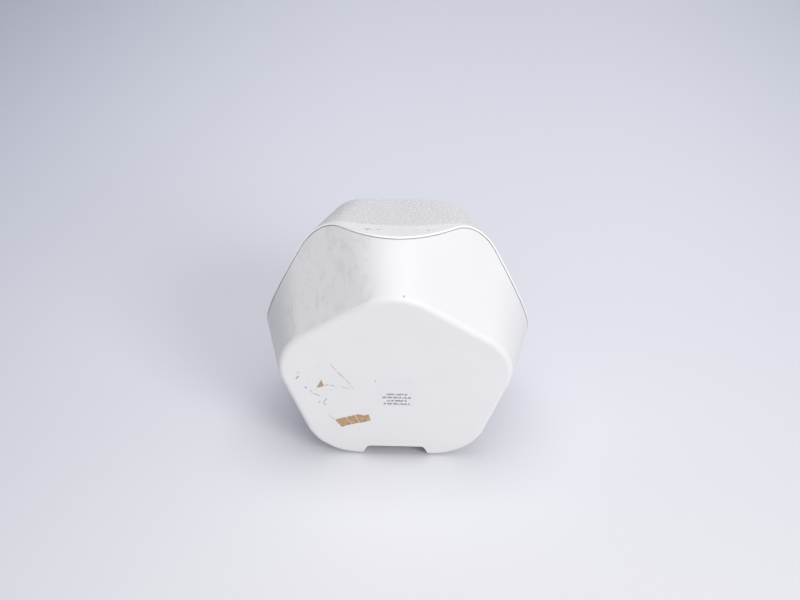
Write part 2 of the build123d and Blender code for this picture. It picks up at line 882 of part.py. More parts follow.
def cone_depth_at(radius):
    """Front surface of the woofer's cone, behind the basket's front, at this radius."""
    neck = drum_front - cone_neck_depth
    rise = (woofer_front - cone_t) - neck
    neck_r = coil_r + former_t
    return neck + rise * (radius - neck_r) / (cone_r - cone_rim_width - neck_r)


def make_woofer_voice_coil():
    former_back = magnet_front - 2 * woofer_travel
    former = ring(coil_r + former_t, coil_r, former_back, cone_depth_at(coil_r))
    winding = ring(
        coil_r + former_t + winding_t, coil_r, magnet_front - woofer_travel, top_plate_front + woofer_travel
    )
    return on_axis(at_woofer(former + winding))


def make_woofer_cone():
    neck_r = coil_r + former_t
    neck = cone_depth_at(neck_r)
    rim_r = cone_r - cone_rim_width
    rim_back = cone_depth_at(rim_r) - cone_t / 2
    cone = turned(
        [
            (neck_r, neck - cone_t * 1.4),
            (rim_r + cone_t, rim_back),
            (cone_r, rim_back),
            (cone_r, woofer_front),
            (rim_r, woofer_front),
            (neck_r, neck),
        ]
    )
    return on_axis(at_woofer(cone))


def make_woofer_dust_cap():
    """A shallow dome whose foot rests on the cone round the voice coil."""
    cap_r = coil_r + cap_foot_margin
    foot = cone_depth_at(cap_r + 2 * dust_cap_t) + push_play
    sphere_r = (cap_r ** 2 + dust_cap_rise ** 2) / (2 * dust_cap_rise)
    centre = Pos(0, 0, foot + dust_cap_rise - sphere_r)
    shell = centre * Sphere(sphere_r + dust_cap_t) - centre * Sphere(sphere_r)
    keep = disc(cap_r + 2 * dust_cap_t, foot, foot + 2 * dust_cap_rise)
    return on_axis(at_woofer(shell & keep))


def make_woofer_surround():
    """A half roll between two flat lips, outlined from the outer lip inward and back again."""
    roll_centre = (cone_r + woofer_opening_r) / 2
    half_width = (woofer_opening_r - cone_r) / 2 + surround_t
    back = woofer_front
    front = back + surround_t
    crest = back + surround_roll_r
    lip_outer = woofer_opening_r + surround_lip
    lip_inner = cone_r - cone_rim_width
    outer_foot = roll_centre + half_width
    inner_foot = roll_centre - half_width
    outer_lip = Polyline((lip_outer, 0, back), (lip_outer, 0, front), (outer_foot, 0, front))
    outer_arc = ThreePointArc((outer_foot, 0, front), (roll_centre, 0, crest), (inner_foot, 0, front))
    inner_end = (inner_foot + surround_t, 0, back)
    outer_end = (outer_foot - surround_t, 0, back)
    inner_lip = Polyline((inner_foot, 0, front), (lip_inner, 0, front), (lip_inner, 0, back), inner_end)
    inner_arc = ThreePointArc(inner_end, (roll_centre, 0, crest - surround_t), outer_end)
    close = Line(outer_end, (lip_outer, 0, back))
    profile = make_face(outer_lip + outer_arc + inner_lip + inner_arc + close)
    return on_axis(at_woofer(revolve(profile, Axis.Z)))


def make_woofer_spider():
    """A corrugated disc from the voice coil's former to the basket's shelf."""
    base = drum_front - woofer_throat_depth + basket_t
    start_r = coil_r + former_t
    flat_r = woofer_throat_r - basket_t - spider_shelf
    end_r = woofer_throat_r - basket_t - fit_gap
    waves = 6
    step = (flat_r - start_r) / waves
    top = [(start_r + step * i, base + (spider_wave * 2 if i % 2 else 0)) for i in range(waves + 1)]
    top.append((end_r, base))
    outline = [(radius, height + spider_t) for radius, height in top] + list(reversed(top))
    return on_axis(at_woofer(turned(outline)))


def make_woofer_terminals():
    """A tag board on the basket's lower ring, at its left side."""
    back = drum_front - woofer_throat_depth - basket_t
    middle_x = -woofer_throat_r - terminal_width / 2
    board = block(middle_x + 1, 0, back, terminal_width, terminal_height, terminal_depth)
    board = board - disc(woofer_throat_r, back, back + terminal_depth)
    for side in (-1, 1):
        board = board + block(middle_x - 1, side * tag_spread, back + terminal_depth, 2.4, 1.0, 2.5)
    return on_axis(at_woofer(board))


# ------------------------------------------------------------------ tweeter
def make_tweeter_plate():
    front = drum_front + tweeter_plate_t
    plate = slot_prism(tweeter_plate_length, 2 * (tweeter_plate_r - tweeter_ear_inset), drum_front, front)
    plate = plate + disc(tweeter_plate_r, drum_front, front)
    wide_r = tweeter_mouth_r + tweeter_mouth_flare
    plate = plate - Pos(0, 0, drum_front) * Cone(tweeter_mouth_r, wide_r, tweeter_plate_t, align=from_bottom)
    for place in tweeter_screw_places():
        plate = plate - place * disc(screw_r, drum_front, front)
    return on_axis(at_tweeter(plate))


def make_tweeter_motor():
    back = drum_front - tweeter_motor_length
    cup = disc(tweeter_motor_r, back, drum_front)
    cup = cup - disc(tweeter_coil_r + tweeter_groove, back + tweeter_cup_t, drum_front)
    pole = disc(tweeter_pole_r, back + tweeter_cup_t / 2, drum_front - tweeter_pole_drop)
    return on_axis(at_tweeter(cup + pole))


def make_tweeter_coil():
    top = drum_front - tweeter_foot_drop
    coil = ring(tweeter_coil_r + tweeter_coil_t, tweeter_coil_r, top - tweeter_coil_length, top)
    return on_axis(at_tweeter(coil))


def make_tweeter_dome():
    foot = drum_front - tweeter_foot_drop
    sphere_r = (tweeter_dome_r ** 2 + tweeter_dome_rise ** 2) / (2 * tweeter_dome_rise)
    centre = Pos(0, 0, foot + tweeter_dome_rise - sphere_r)
    shell = centre * Sphere(sphere_r) - centre * Sphere(sphere_r - tweeter_dome_t)
    dome = shell & disc(tweeter_plate_r, foot, body_depth)
    return on_axis(at_tweeter(dome))


def make_driver_screws():
    """Six screws that hold the woofer to the drum's board, and two that hold the tweeter."""
    long_screw = screw(drum_face_t + woofer_flange_t + woofer_gasket_t, woofer_front)
    short_screw = screw(drum_face_t + tweeter_plate_t, drum_front + tweeter_plate_t)
    woofer_ones = [at_woofer(one) for one in spread(long_screw, woofer_screw_places())]
    tweeter_ones = [at_tweeter(one) for one in spread(short_screw, tweeter_screw_places())]
    return group([on_axis(one) for one in woofer_ones + tweeter_ones])


# ------------------------------------------------------------------ electronics
def make_board(centre_x, centre_y, width, height, places):
    board = block(centre_x, centre_y, board_back, width, height, board_t)
    for place in places:
        board = board - place * disc(screw_r, board_back, board_front)
    return on_axis(board)


def make_main_board():
    return make_board(0, main_board_up, main_board_width, main_board_height, main_board_places())


def make_power_board():
    return make_board(
        -power_board_side, -power_board_drop, power_board_width, power_board_height, power_board_places()
    )


def make_board_screws():
    """Four screws in each of the two large boards, and two small ones in the button board."""
    one = screw(board_screw_length, board_front)
    large = [on_axis(place * one) for place in main_board_places() + power_board_places()]
    return group(large + button_board_screws())


def make_heat_sink():
    base = board_front + chip_t
    sink = block(0, 0, base, heat_sink_width, heat_sink_height, heat_sink_base_t)
    pitch = (heat_sink_width - fin_t) / (fin_count - 1)
    for index in range(fin_count):
        x = -heat_sink_width / 2 + fin_t / 2 + index * pitch
        sink = sink + block(x, 0, base, fin_t, heat_sink_height, heat_sink_depth)
    return on_axis(Pos(0, main_board_up + heat_sink_up, 0) * sink)


def make_amplifier_chip():
    return on_axis(block(0, main_board_up + heat_sink_up, board_front, chip_width, chip_width, chip_t))


def make_signal_processor():
    y = main_board_up - processor_drop
    return on_axis(block(processor_x, y, board_front, processor_width, processor_width, processor_t))


def make_wireless_module():
    y = main_board_up + module_up
    module = block(module_x, y, board_front, 16, 14, module_board_t)
    shield = block(module_x, y - 1, board_front + module_board_t, 13, 10, module_shield_t)
    return on_axis(module + shield)


def make_filter_coils():
    coil = block(0, 0, board_front, coil_size, coil_size, coil_height)
    places = [Pos(coil_x + coil_pitch * index, main_board_up - coil_drop, 0) for index in (0, 1)]
    return group([on_axis(one) for one in spread(coil, places)])


def make_board_capacitors():
    can = disc(small_can_r, board_front, board_front + small_can_height)
    y = main_board_up - small_can_drop
    places = [Pos(small_can_x + small_can_pitch * index, y, 0) for index in (-1, 0, 1)]
    return group([on_axis(one) for one in spread(can, places)])


def make_power_transformer():
    core = block(0, 0, board_front, 25, 12, transformer_height)
    winding = block(0, 0, board_front + 1.5, 17, 21, transformer_height - 3)
    return on_axis(Pos(transformer_x, -power_board_drop, 0) * (core + winding))


def make_power_capacitors():
    can = disc(large_can_r, board_front, board_front + large_can_height)
    places = [Pos(capacitor_x, -power_board_drop + side * large_can_spread, 0) for side in (-1, 1)]
    return group([on_axis(one) for one in spread(can, places)])


def make_mains_terminal():
    return on_axis(block(mains_terminal_x, mains_terminal_y, board_front, 7.5, 9, mains_terminal_height))


def make_damping_wadding():
    """A soft block on the rear wall, beside the power board."""
    pad = block(0, 0, wall + fit_gap, wadding_width, wadding_height, wadding_t)
    pad = fillet(pad.edges().filter_by(Axis.Z), wadding_corner_r)
    pad = fillet(pad.edges().group_by(Axis.Z)[-1], wadding_edge_r)
    return on_axis(Pos(wadding_width / 2 + wadding_side, -power_board_drop, 0) * pad)


def make_woofer_leads():
    terminal_x = -woofer_throat_r - terminal_width / 2
    terminal_back = drum_front - woofer_throat_depth - basket_t
    start_x = -main_board_width / 2 + 3
    start_y = main_board_up - main_board_height / 2 + 12
    return on_axis(
        lead(
            [
                (start_x, start_y, board_front),
                (start_x, start_y, board_front + lead_rise),
                (start_x, -woofer_drop + 8, board_front + 34),
                (terminal_x, -woofer_drop, terminal_back - 14),
                (terminal_x, -woofer_drop, terminal_back),
            ]
        )
    )


def make_tweeter_leads():
    start_y = main_board_up + main_board_height / 2 - 6
    motor_back = drum_front - tweeter_motor_length
    return on_axis(
        lead(
            [
                (26, start_y, board_front),
                (26, start_y, board_front + 20),
                (0, tweeter_rise, motor_back - 24),
                (0, tweeter_rise, motor_back),
            ]
        )
    )


def make_button_leads():
    under = -button_board_top - button_board_t
    start = strip_plane.location * Pos(20, 2, under)
    below = strip_plane.location * Pos(20, 2, under - 10)
    board_edge = main_board_up + main_board_height / 2 - 5
    return on_axis(
        lead(
            [
                tuple(start.position),
                tuple(below.position),
                (14, board_edge, board_front + 18),
                (14, board_edge, board_front),
            ]
        )
    )


def make_mains_leads():
    top = bay_height + inlet_height
    start = axis_frame.location.inverse() * Pos(inlet_x, -connector_back, top)
    above = axis_frame.location.inverse() * Pos(inlet_x, -connector_back, top + 12)
    end_z = board_front + mains_terminal_height
    return on_axis(
        lead(
            [
                tuple(start.position),
                tuple(above.position),
                (mains_terminal_x, mains_terminal_y, end_z + lead_rise),
                (mains_terminal_x, mains_terminal_y, end_z),
            ]
        )
    )


def make_rating_label():
    plate = extrude(RectangleRounded(label_width, label_height, label_corner_r), label_t)
    return on_axis(Pos(0, -label_drop, -label_t) * plate)


# ------------------------------------------------------------------ assembly
nodes = {
    "rear_housing": make_rear_housing(),
    "front_frame": make_front_frame(),
    "seam_gasket": make_seam_gasket(),
    "cabinet_posts": make_cabinet_posts(),
    "baffle_drum": make_baffle_drum(),
    "baffle_board": make_baffle_board(),
    "drum_gasket": make_drum_gasket(),
    "keeper_magnets": make_keeper_magnets(),
    "cabinet_screws": make_cabinet_screws(),
    "grille_cloth": make_grille_cloth(),
    "grille_frame": make_grille_frame(),
    "cover_magnets": make_cover_magnets(),
    "base_feet": make_base_feet(),
    "connection_tray": make_connection_tray(),
    "connection_plate": make_connection_plate(),
    "mains_inlet": make_mains_inlet(),
    "inlet_pins": make_inlet_pins(),
    "line_in_jack": make_jack(jack_places()[0]),
    "line_out_jack": make_jack(jack_places()[1]),
    "button_board": make_button_board(),
    "button_switches": make_button_switches(),
    "status_lights": make_status_lights(),
    "woofer_basket": make_woofer_basket(),
    "woofer_gasket": make_woofer_gasket(),
    "woofer_top_plate": make_woofer_top_plate(),
    "woofer_magnet": make_woofer_magnet(),
    "woofer_back_plate": make_woofer_back_plate(),
    "woofer_voice_coil": make_woofer_voice_coil(),
    "woofer_cone": make_woofer_cone(),
    "woofer_dust_cap": make_woofer_dust_cap(),
    "woofer_surround": make_woofer_surround(),
    "woofer_spider": make_woofer_spider(),
    "woofer_terminals": make_woofer_terminals(),
    "tweeter_plate": make_tweeter_plate(),
    "tweeter_motor": make_tweeter_motor(),
    "tweeter_coil": make_tweeter_coil(),
    "tweeter_dome": make_tweeter_dome(),
    "driver_screws": make_driver_screws(),
    "main_board": make_main_board(),
    "power_board": make_power_board(),
    "board_screws": make_board_screws(),
    "heat_sink": make_heat_sink(),
    "amplifier_chip": make_amplifier_chip(),
    "signal_processor": make_signal_processor(),
    "wireless_module": make_wireless_module(),
    "filter_coils": make_filter_coils(),
    "board_capacitors": make_board_capacitors(),
    "power_transformer": make_power_transformer(),
    "power_capacitors": make_power_capacitors(),
    "mains_terminal": make_mains_terminal(),
    "damping_wadding": make_damping_wadding(),
    "woofer_leads": make_woofer_leads(),
    "tweeter_leads": make_tweeter_leads(),
    "button_leads": make_button_leads(),
    "mains_leads": make_mains_leads(),
    "rating_label": make_rating_label(),
}
for name, x in button_names.items():
    nodes[name] = make_button(x)

# The row's origin is under the middle of the speaker's box, at the height its feet stand on.
corners = [shape.bounding_box() for shape in nodes.values()]
middle_y = (min(box.min.Y for box in corners) + max(box.max.Y for box in corners)) / 2
settle = Pos(0, -middle_y, foot_height)

os.makedirs("parts", exist_ok=True)
for name, shape in nodes.items():
    export_step(settle * shape, "parts/" + name + ".step")

print("middle_y %.4f, lean %.3f deg, axis %s" % (middle_y, math.degrees(lean), tuple(axis_frame.z_dir)))
print("ridge %.2f to %.2f, flange front %.2f" % (ridge_low, ridge_high, flange_front))
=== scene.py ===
# %% [markdown]
# A smart speaker stands on a pale studio floor and is seen from behind and above. Its rigid
# pieces come ready made from the CAD model, which is loaded here as a fixed frame. Blender
# adds what CAD can't say: materials, the woven cover, soft parts, prints and marks of use.
# All places are in metres in the CAD model's own frame: X to the side, Y to the rear, Z up.
# %% Load the frame
import json
import math
import random

import bmesh
import bpy
from mathutils import Matrix, Vector, noise


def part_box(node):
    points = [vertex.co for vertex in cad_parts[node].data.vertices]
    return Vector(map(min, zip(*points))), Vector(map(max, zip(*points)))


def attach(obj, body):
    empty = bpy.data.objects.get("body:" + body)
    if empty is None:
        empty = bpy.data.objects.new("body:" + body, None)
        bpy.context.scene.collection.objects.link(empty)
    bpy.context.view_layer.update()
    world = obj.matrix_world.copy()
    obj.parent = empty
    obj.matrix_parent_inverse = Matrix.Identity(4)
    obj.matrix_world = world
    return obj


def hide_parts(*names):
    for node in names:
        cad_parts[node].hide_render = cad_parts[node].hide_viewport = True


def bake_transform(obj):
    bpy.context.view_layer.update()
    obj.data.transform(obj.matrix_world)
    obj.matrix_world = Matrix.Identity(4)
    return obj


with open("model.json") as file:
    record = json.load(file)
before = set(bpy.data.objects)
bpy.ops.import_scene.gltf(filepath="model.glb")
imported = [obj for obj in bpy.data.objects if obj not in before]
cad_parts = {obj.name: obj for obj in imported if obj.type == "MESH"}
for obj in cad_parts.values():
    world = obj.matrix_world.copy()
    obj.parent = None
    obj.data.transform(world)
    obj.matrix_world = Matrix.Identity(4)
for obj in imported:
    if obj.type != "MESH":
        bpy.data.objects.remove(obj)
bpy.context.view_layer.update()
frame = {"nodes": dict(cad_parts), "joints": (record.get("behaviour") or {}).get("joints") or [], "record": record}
nodes = frame["nodes"]

# %% [markdown]
# Sizes are easiest to think of in millimetres, so one value turns them to metres. A pattern's
# scale in a texture node is how many times it repeats in a metre, so it comes from the size
# of one repeat. Colours are written as the usual sRGB hex values, and shaders want linear
# light, so one function does that turn for every colour in the file.
# %% Units and colours
MM = 0.001


def repeats(size_mm):
    """Texture scale for a pattern whose features are this many millimetres wide."""
    return 1000.0 / size_mm


def linear(hex_colour):
    """An sRGB hex colour as linear red, green, blue and alpha."""
    channels = [int(hex_colour[i:i + 2], 16) / 255 for i in (1, 3, 5)]
    lit = [c / 12.92 if c <= 0.04045 else ((c + 0.055) / 1.055) ** 2.4 for c in channels]
    return (*lit, 1.0)


print("a mid grey in linear light:", [round(c, 3) for c in linear("#808080")])

# %% [markdown]
# Every material is a small network of nodes. One function adds a node, sets its own
# properties, and fills its inputs either with a value or with a link from another node.
# Two more start an empty material and close it with a shader and an output.
# %% Adding nodes
def add(tree, kind, inputs=None, **settings):
    """Adds a node. Settings are its properties; inputs are values or other nodes' outputs."""
    node = tree.nodes.new(kind)
    for name, value in settings.items():
        setattr(node, name, value)
    for name, value in (inputs or {}).items():
        if isinstance(value, bpy.types.NodeSocket):
            tree.links.new(value, node.inputs[name])
        else:
            node.inputs[name].default_value = value
    return node


def start_material(name):
    material = bpy.data.materials.new(name)
    material.use_nodes = True
    material.node_tree.nodes.clear()
    return material, material.node_tree


def close_material(tree, height=None, depth_mm=0.0, **inputs):
    """Adds the shader, with a bump where a height is given, and joins it to the output."""
    sockets = {key.replace("_", " "): value for key, value in inputs.items()}
    if height is not None:
        bump = add(tree, "ShaderNodeBump", {"Height": height, "Distance": depth_mm * MM, "Strength": 1.0})
        sockets["Normal"] = bump.outputs["Normal"]
    shader = add(tree, "ShaderNodeBsdfPrincipled", sockets)
    add(tree, "ShaderNodeOutputMaterial", {"Surface": shader.outputs["BSDF"]})


print("node helpers ready")

# %% [markdown]
# Every shape made in this script starts as loose corners and faces. One function finishes that
# work: it turns the faces outward, stores them as a mesh, and puts an object with that mesh and
# its finish into the scene. A second one closes the space between two outlines, for anything
# flat that was cut or printed.
# %% Making objects
def new_object(name, shape, finish=None):
    """An object made of the faces in a bmesh, which is freed, with this finish on it."""
    bmesh.ops.recalc_face_normals(shape, faces=shape.faces)
    mesh = bpy.data.meshes.new(name)
    shape.to_mesh(mesh)
    shape.free()
    made = bpy.data.objects.new(name, mesh)
    bpy.context.scene.collection.objects.link(made)
    if finish is not None:
        mesh.materials.append(finish)
    return made


def add_slab(shape, below, above):
    """Closes the space between two outlines that have the same number of points."""
    lower = [shape.verts.new(point) for point in below]
    upper = [shape.verts.new(point) for point in above]
    shape.faces.new(lower)
    shape.faces.new(list(reversed(upper)))
    for index in range(len(lower)):
        after = (index + 1) % len(lower)
        shape.faces.new((lower[index], upper[index], upper[after], lower[after]))


print("object helpers ready")

# %% [markdown]
# The body has one axis, from the middle of the flat rear face to the middle of the fabric
# front, and it rises towards the front. The cover slides along it, so the joint gives its
# direction. The rating label lies 7 mm below the middle of the rear face, which gives that
# middle point. With these, marks and soft parts can be placed on the body's own axes.
# %% The body's own axes
joint_axis = {joint["name"]: Vector(joint["axis"]).normalized() for joint in frame["joints"]}
forward = joint_axis["cover_pull"]
across = Vector((1, 0, 0))
face_up = forward.cross(across).normalized()
strip_out = -joint_axis["power_press"]

body_depth = 131.0
label_drop = 7.0
label_low, label_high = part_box("rating_label")
label_middle = (label_low + label_high) / 2
rear_middle = Vector((0, label_middle.y, label_middle.z)) + face_up * label_drop * MM


def on_axis(x, up, depth):
    """A place given in millimetres on the body's axes, as a point in the model's frame."""
    return rear_middle + (across * x + face_up * up + forward * depth) * MM


print("rear face's middle:", [round(c, 4) for c in rear_middle], "forward:", [round(c, 3) for c in forward])

# %% [markdown]
# The camera stands behind the speaker and looks down at it by about thirty degrees. A long
# lens from about a metre keeps the faces in proportion. The camera is turned by a fraction
# of a degree about its own line of sight.
# %% Camera
camera_place = Vector((-24.5, 947.3, 640.9)) * MM
camera_target = Vector((-1.4, 0.0, 106.8)) * MM
camera_roll = 0.45
camera = bpy.data.objects.new("camera", bpy.data.cameras.new("camera"))
bpy.context.scene.collection.objects.link(camera)
camera.data.sensor_width = 36.0
camera.data.lens = 67.74
camera.data.clip_end = 50.0
camera.location = camera_place
sight = (camera_target - camera_place).to_track_quat("-Z", "Y").to_matrix()
camera.rotation_mode = "QUATERNION"
camera.rotation_quaternion = (sight @ Matrix.Rotation(math.radians(camera_roll), 3, "Z")).to_quaternion()
bpy.context.scene.camera = camera
print("camera is %.3f m from its target" % (camera_target - camera_place).length)

# %% [markdown]
# The studio is a sheet of pale paper, lit softly from the camera's side and from above. The
# paper lies flat under the speaker and rises slowly far behind it, so that no edge shows. Its
# colour is a near white that turns a little bluer further off. Painted light makes it brighter
# further off, and painted shade turns it a cool grey to the sides, where the studio's light
# falls off.
# %% Floor
def paper_material():
    material, tree = start_material("coated_paper_backdrop")
    place = add(tree, "ShaderNodeTexCoord")
    parts = add(tree, "ShaderNodeSeparateXYZ", {"Vector": place.outputs["Object"]})
    away = add(tree, "ShaderNodeMapRange", {"Value": parts.outputs["Y"], "From Min": 0.45, "From Max": -0.75},
               interpolation_type="SMOOTHSTEP")
    aside = add(tree, "ShaderNodeMath", {0: parts.outputs["X"], 1: 0.1}, operation="ADD")
    aside = add(tree, "ShaderNodeMath", {0: aside.outputs["Value"]}, operation="ABSOLUTE")
    # painted shade: the paper turns a darker cool grey towards the sides, where the studio's light falls off
    side = add(tree, "ShaderNodeMapRange",
               {"Value": aside.outputs["Value"], "From Min": 0.1, "From Max": 1.0},
               interpolation_type="SMOOTHSTEP")
    # painted light: the paper is painted brighter further off, as well as a little bluer
    near_far_painted_light = add(tree, "ShaderNodeMix",
                   {"Factor": away.outputs["Result"], "A": linear("#E8E8EB"), "B": linear("#F2F4FE")},
                   data_type="RGBA")
    paper_painted_light = add(tree, "ShaderNodeMix", {"Factor": side.outputs["Result"], "A": near_far_painted_light.outputs["Result"],
                                         "B": linear("#B0B5C8")}, data_type="RGBA")
    fibre = add(tree, "ShaderNodeTexNoise",
                {"Vector": place.outputs["Object"], "Scale": repeats(1.5), "Detail": 3.0})
    close_material(tree, fibre.outputs["Fac"], 0.01, Base_Color=paper_painted_light.outputs["Result"], Roughness=0.75,
                   IOR=1.5)
    return material


def make_floor():
    near_edge, bend_start, bend_radius, height, half_width = 8.0, -1.0, 1.6, 3.0, 8.0
    steps = [(near_edge, 0.0), (0.0, 0.0), (bend_start, 0.0)]
    turns = 24
    for index in range(1, turns + 1):
        angle = math.radians(90 * index / turns)
        steps.append((bend_start - bend_radius * math.sin(angle), bend_radius * (1 - math.cos(angle))))
    steps.append((bend_start - bend_radius, height))
    shape = bmesh.new()
    rows = []
    for y, z in steps:
        rows.append([shape.verts.new((x * half_width, y, z)) for x in (-1, 0, 1)])
    for low, high in zip(rows, rows[1:]):
        for index in range(2):
            shape.faces.new((low[index], high[index], high[index + 1], low[index + 1])).smooth = True
    floor = new_object("backdrop_paper", shape, paper_material())
    return floor


floor = make_floor()
print("floor made of", len(floor.data.polygons), "faces")

# %% [markdown]
# Four soft sources are enough. The key light is a panel to the right of the camera, which
# lays the soft shadow on the left and behind. A wide panel above fills the top, a weak one
# behind the camera lights the rear face, and the room itself fills the rest: a pale world
# that is darker on one side, like a studio with one white wall. None of them is strong
# enough to burn out the white plastic.
# %% Light
def area_light(name, place, target, width, height, power, colour):
    lamp = bpy.data.lights.new(name, "AREA")
    lamp.shape = "RECTANGLE"
    lamp.size = width
    lamp.size_y = height
    lamp.energy = power
    lamp.color = linear(colour)[:3]
    holder = bpy.data.objects.new(name, lamp)
    bpy.context.scene.collection.objects.link(holder)
    holder.location = place
    holder.rotation_mode = "QUATERNION"
    holder.rotation_quaternion = (Vector(target) - Vector(place)).to_track_quat("-Z", "Y")


area_light("softbox_key", (-1.2, 1.8, 1.2), (0, 0, 0.08), 0.9, 0.9, 24.0, "#FFFEFC")
area_light("softbox_top", (0.0, 0.3, 2.2), (0, 0, 0), 1.8, 1.8, 20.5, "#FCFCFF")
area_light("softbox_behind_camera", (-0.2, 2.3, 0.9), (0, 0, 0.08), 1.4, 1.0, 6.0, "#FFFFFF")

world = bpy.data.worlds.new("studio_room")
world.use_nodes = True
bpy.context.scene.world = world
room = world.node_tree.nodes["Background"]
direction = add(world.node_tree, "ShaderNodeTexCoord")
sides = add(world.node_tree, "ShaderNodeSeparateXYZ", {"Vector": direction.outputs["Generated"]})
fall = add(world.node_tree, "ShaderNodeMapRange",
           {"Value": sides.outputs["X"], "From Min": -0.8, "From Max": 0.9, "To Min": 0.55, "To Max": 0.27},
           interpolation_type="SMOOTHSTEP")
world.node_tree.links.new(fall.outputs["Result"], room.inputs["Strength"])
room.inputs["Color"].default_value = linear("#F8F8FA")
bpy.context.scene.view_settings.view_transform = "Standard"
print("lamps:", [lamp.name for lamp in bpy.data.lights])

# %% [markdown]
# The body is ABS, injection moulded in a polished tool that was lightly blasted: white, with
# a satin face and a very fine even grain. Years of handling leave it a little uneven, so the
# white drifts by a shade over some centimetres and the gloss with it. ABS has an IOR near
# 1.53. The rear housing's white is painted a shade darker and the other white parts' white
# lighter, as painted shade and light that even out how much light their faces catch. Marks of
# use sit on the rear face, so the material also needs places on that face.
# %% Places on the rear face, for materials
def face_millimetres(tree):
    """X across, Y up the rear face and Z along the axis, in millimetres, from its middle."""
    place = add(tree, "ShaderNodeTexCoord")
    from_middle = add(tree, "ShaderNodeVectorMath", {0: place.outputs["Object"], 1: rear_middle},
                      operation="SUBTRACT")
    lengths = []
    for direction in (across, face_up, forward):
        lengths.append(add(tree, "ShaderNodeVectorMath",
                           {0: from_middle.outputs["Vector"], 1: direction / MM}, operation="DOT_PRODUCT"))
    joined = add(tree, "ShaderNodeCombineXYZ",
                 {axis: node.outputs["Value"] for axis, node in zip("XYZ", lengths)})
    return joined.outputs["Vector"]


def stroke(tree, face, start, end, width):
    """A soft-edged line between two places on the rear face: 1 on it, 0 away from it."""
    start, end = Vector((*start, 0)), Vector((*end, 0))
    turn = math.atan2(end.y - start.y, end.x - start.x)
    local = add(tree, "ShaderNodeMapping",
                {"Vector": face, "Location": (start + end) / 2, "Rotation": (0, 0, turn),
                 "Scale": ((end - start).length / 2, width / 2, 6.0)}, vector_type="TEXTURE")
    size = add(tree, "ShaderNodeVectorMath", {0: local.outputs["Vector"]}, operation="ABSOLUTE")
    parts = add(tree, "ShaderNodeSeparateXYZ", {"Vector": size.outputs["Vector"]})
    far = add(tree, "ShaderNodeMath", {0: parts.outputs["X"], 1: parts.outputs["Y"]}, operation="MAXIMUM")
    far = add(tree, "ShaderNodeMath", {0: far.outputs["Value"], 1: parts.outputs["Z"]}, operation="MAXIMUM")
    return add(tree, "ShaderNodeMapRange", {"Value": far.outputs["Value"], "From Min": 1.0, "From Max": 0.55},
               interpolation_type="SMOOTHSTEP").outputs["Result"]


def together(tree, masks):
    """The strongest of several masks at each place."""
    result = masks[0]
    for mask in masks[1:]:
        result = add(tree, "ShaderNodeMath", {0: result, 1: mask}, operation="MAXIMUM").outputs["Value"]
    return result


print("rear face helpers ready")

# %% [markdown]
# Marks of use are a long hairline scratch, a few short ones, dust rubbed into the grain of
# one upper facet, and a few specks. Each scratch is a thin line between two places on the
# face. Fainter, broken lines are old glue along the edges of tape and label. The rubbed dust
# follows streaks of noise that are stretched along the facet, the way a hand wipes it.
# %% White satin ABS
# Each line: its two ends, in millimetres on the rear face, and its width in millimetres.
scratch_lines = [
    ((45, 20.5), (40.5, 13), 0.5),
    ((40.5, 13), (35, 5.5), 0.8),
    ((35, 5.5), (31, -1), 0.5),
    ((31, -1), (29, -5), 0.5),
    ((50, -1.5), (46.5, -1), 0.8),
    ((46.5, -1), (42, -2), 0.7),
    ((60, -6.5), (58, -10), 0.8),
    ((58, -10), (53, -12.5), 0.8),
    ((48, -15), (51, -19), 1.0),
    ((51, -19), (49, -22.5), 0.8),
    ((68.5, 10), (66, 12), 0.6),
    ((69.5, 4), (67, 8), 1.2),
    ((63, -3), (62.5, -5.5), 1.3),
    ((54.5, -20), (53, -17.5), 0.7),
    ((48, -32), (43.5, -38), 0.5),
    ((38, -3), (31.5, -4), 0.5),
    ((14.2, 4.2), (12.4, 3.6), 1.9),
    ((-6.5, 83.1), (-5.3, 83.3), 0.5),
]
glue_lines = [
    ((46.5, 20), (58, 16), 0.5),
    ((58, 16), (63, -3), 0.4),
    ((53, -7.5), (38, -5), 0.5),
    ((38, -5), (29, -5), 0.4),
    ((14, 7), (-14.5, 7), 0.35),
]


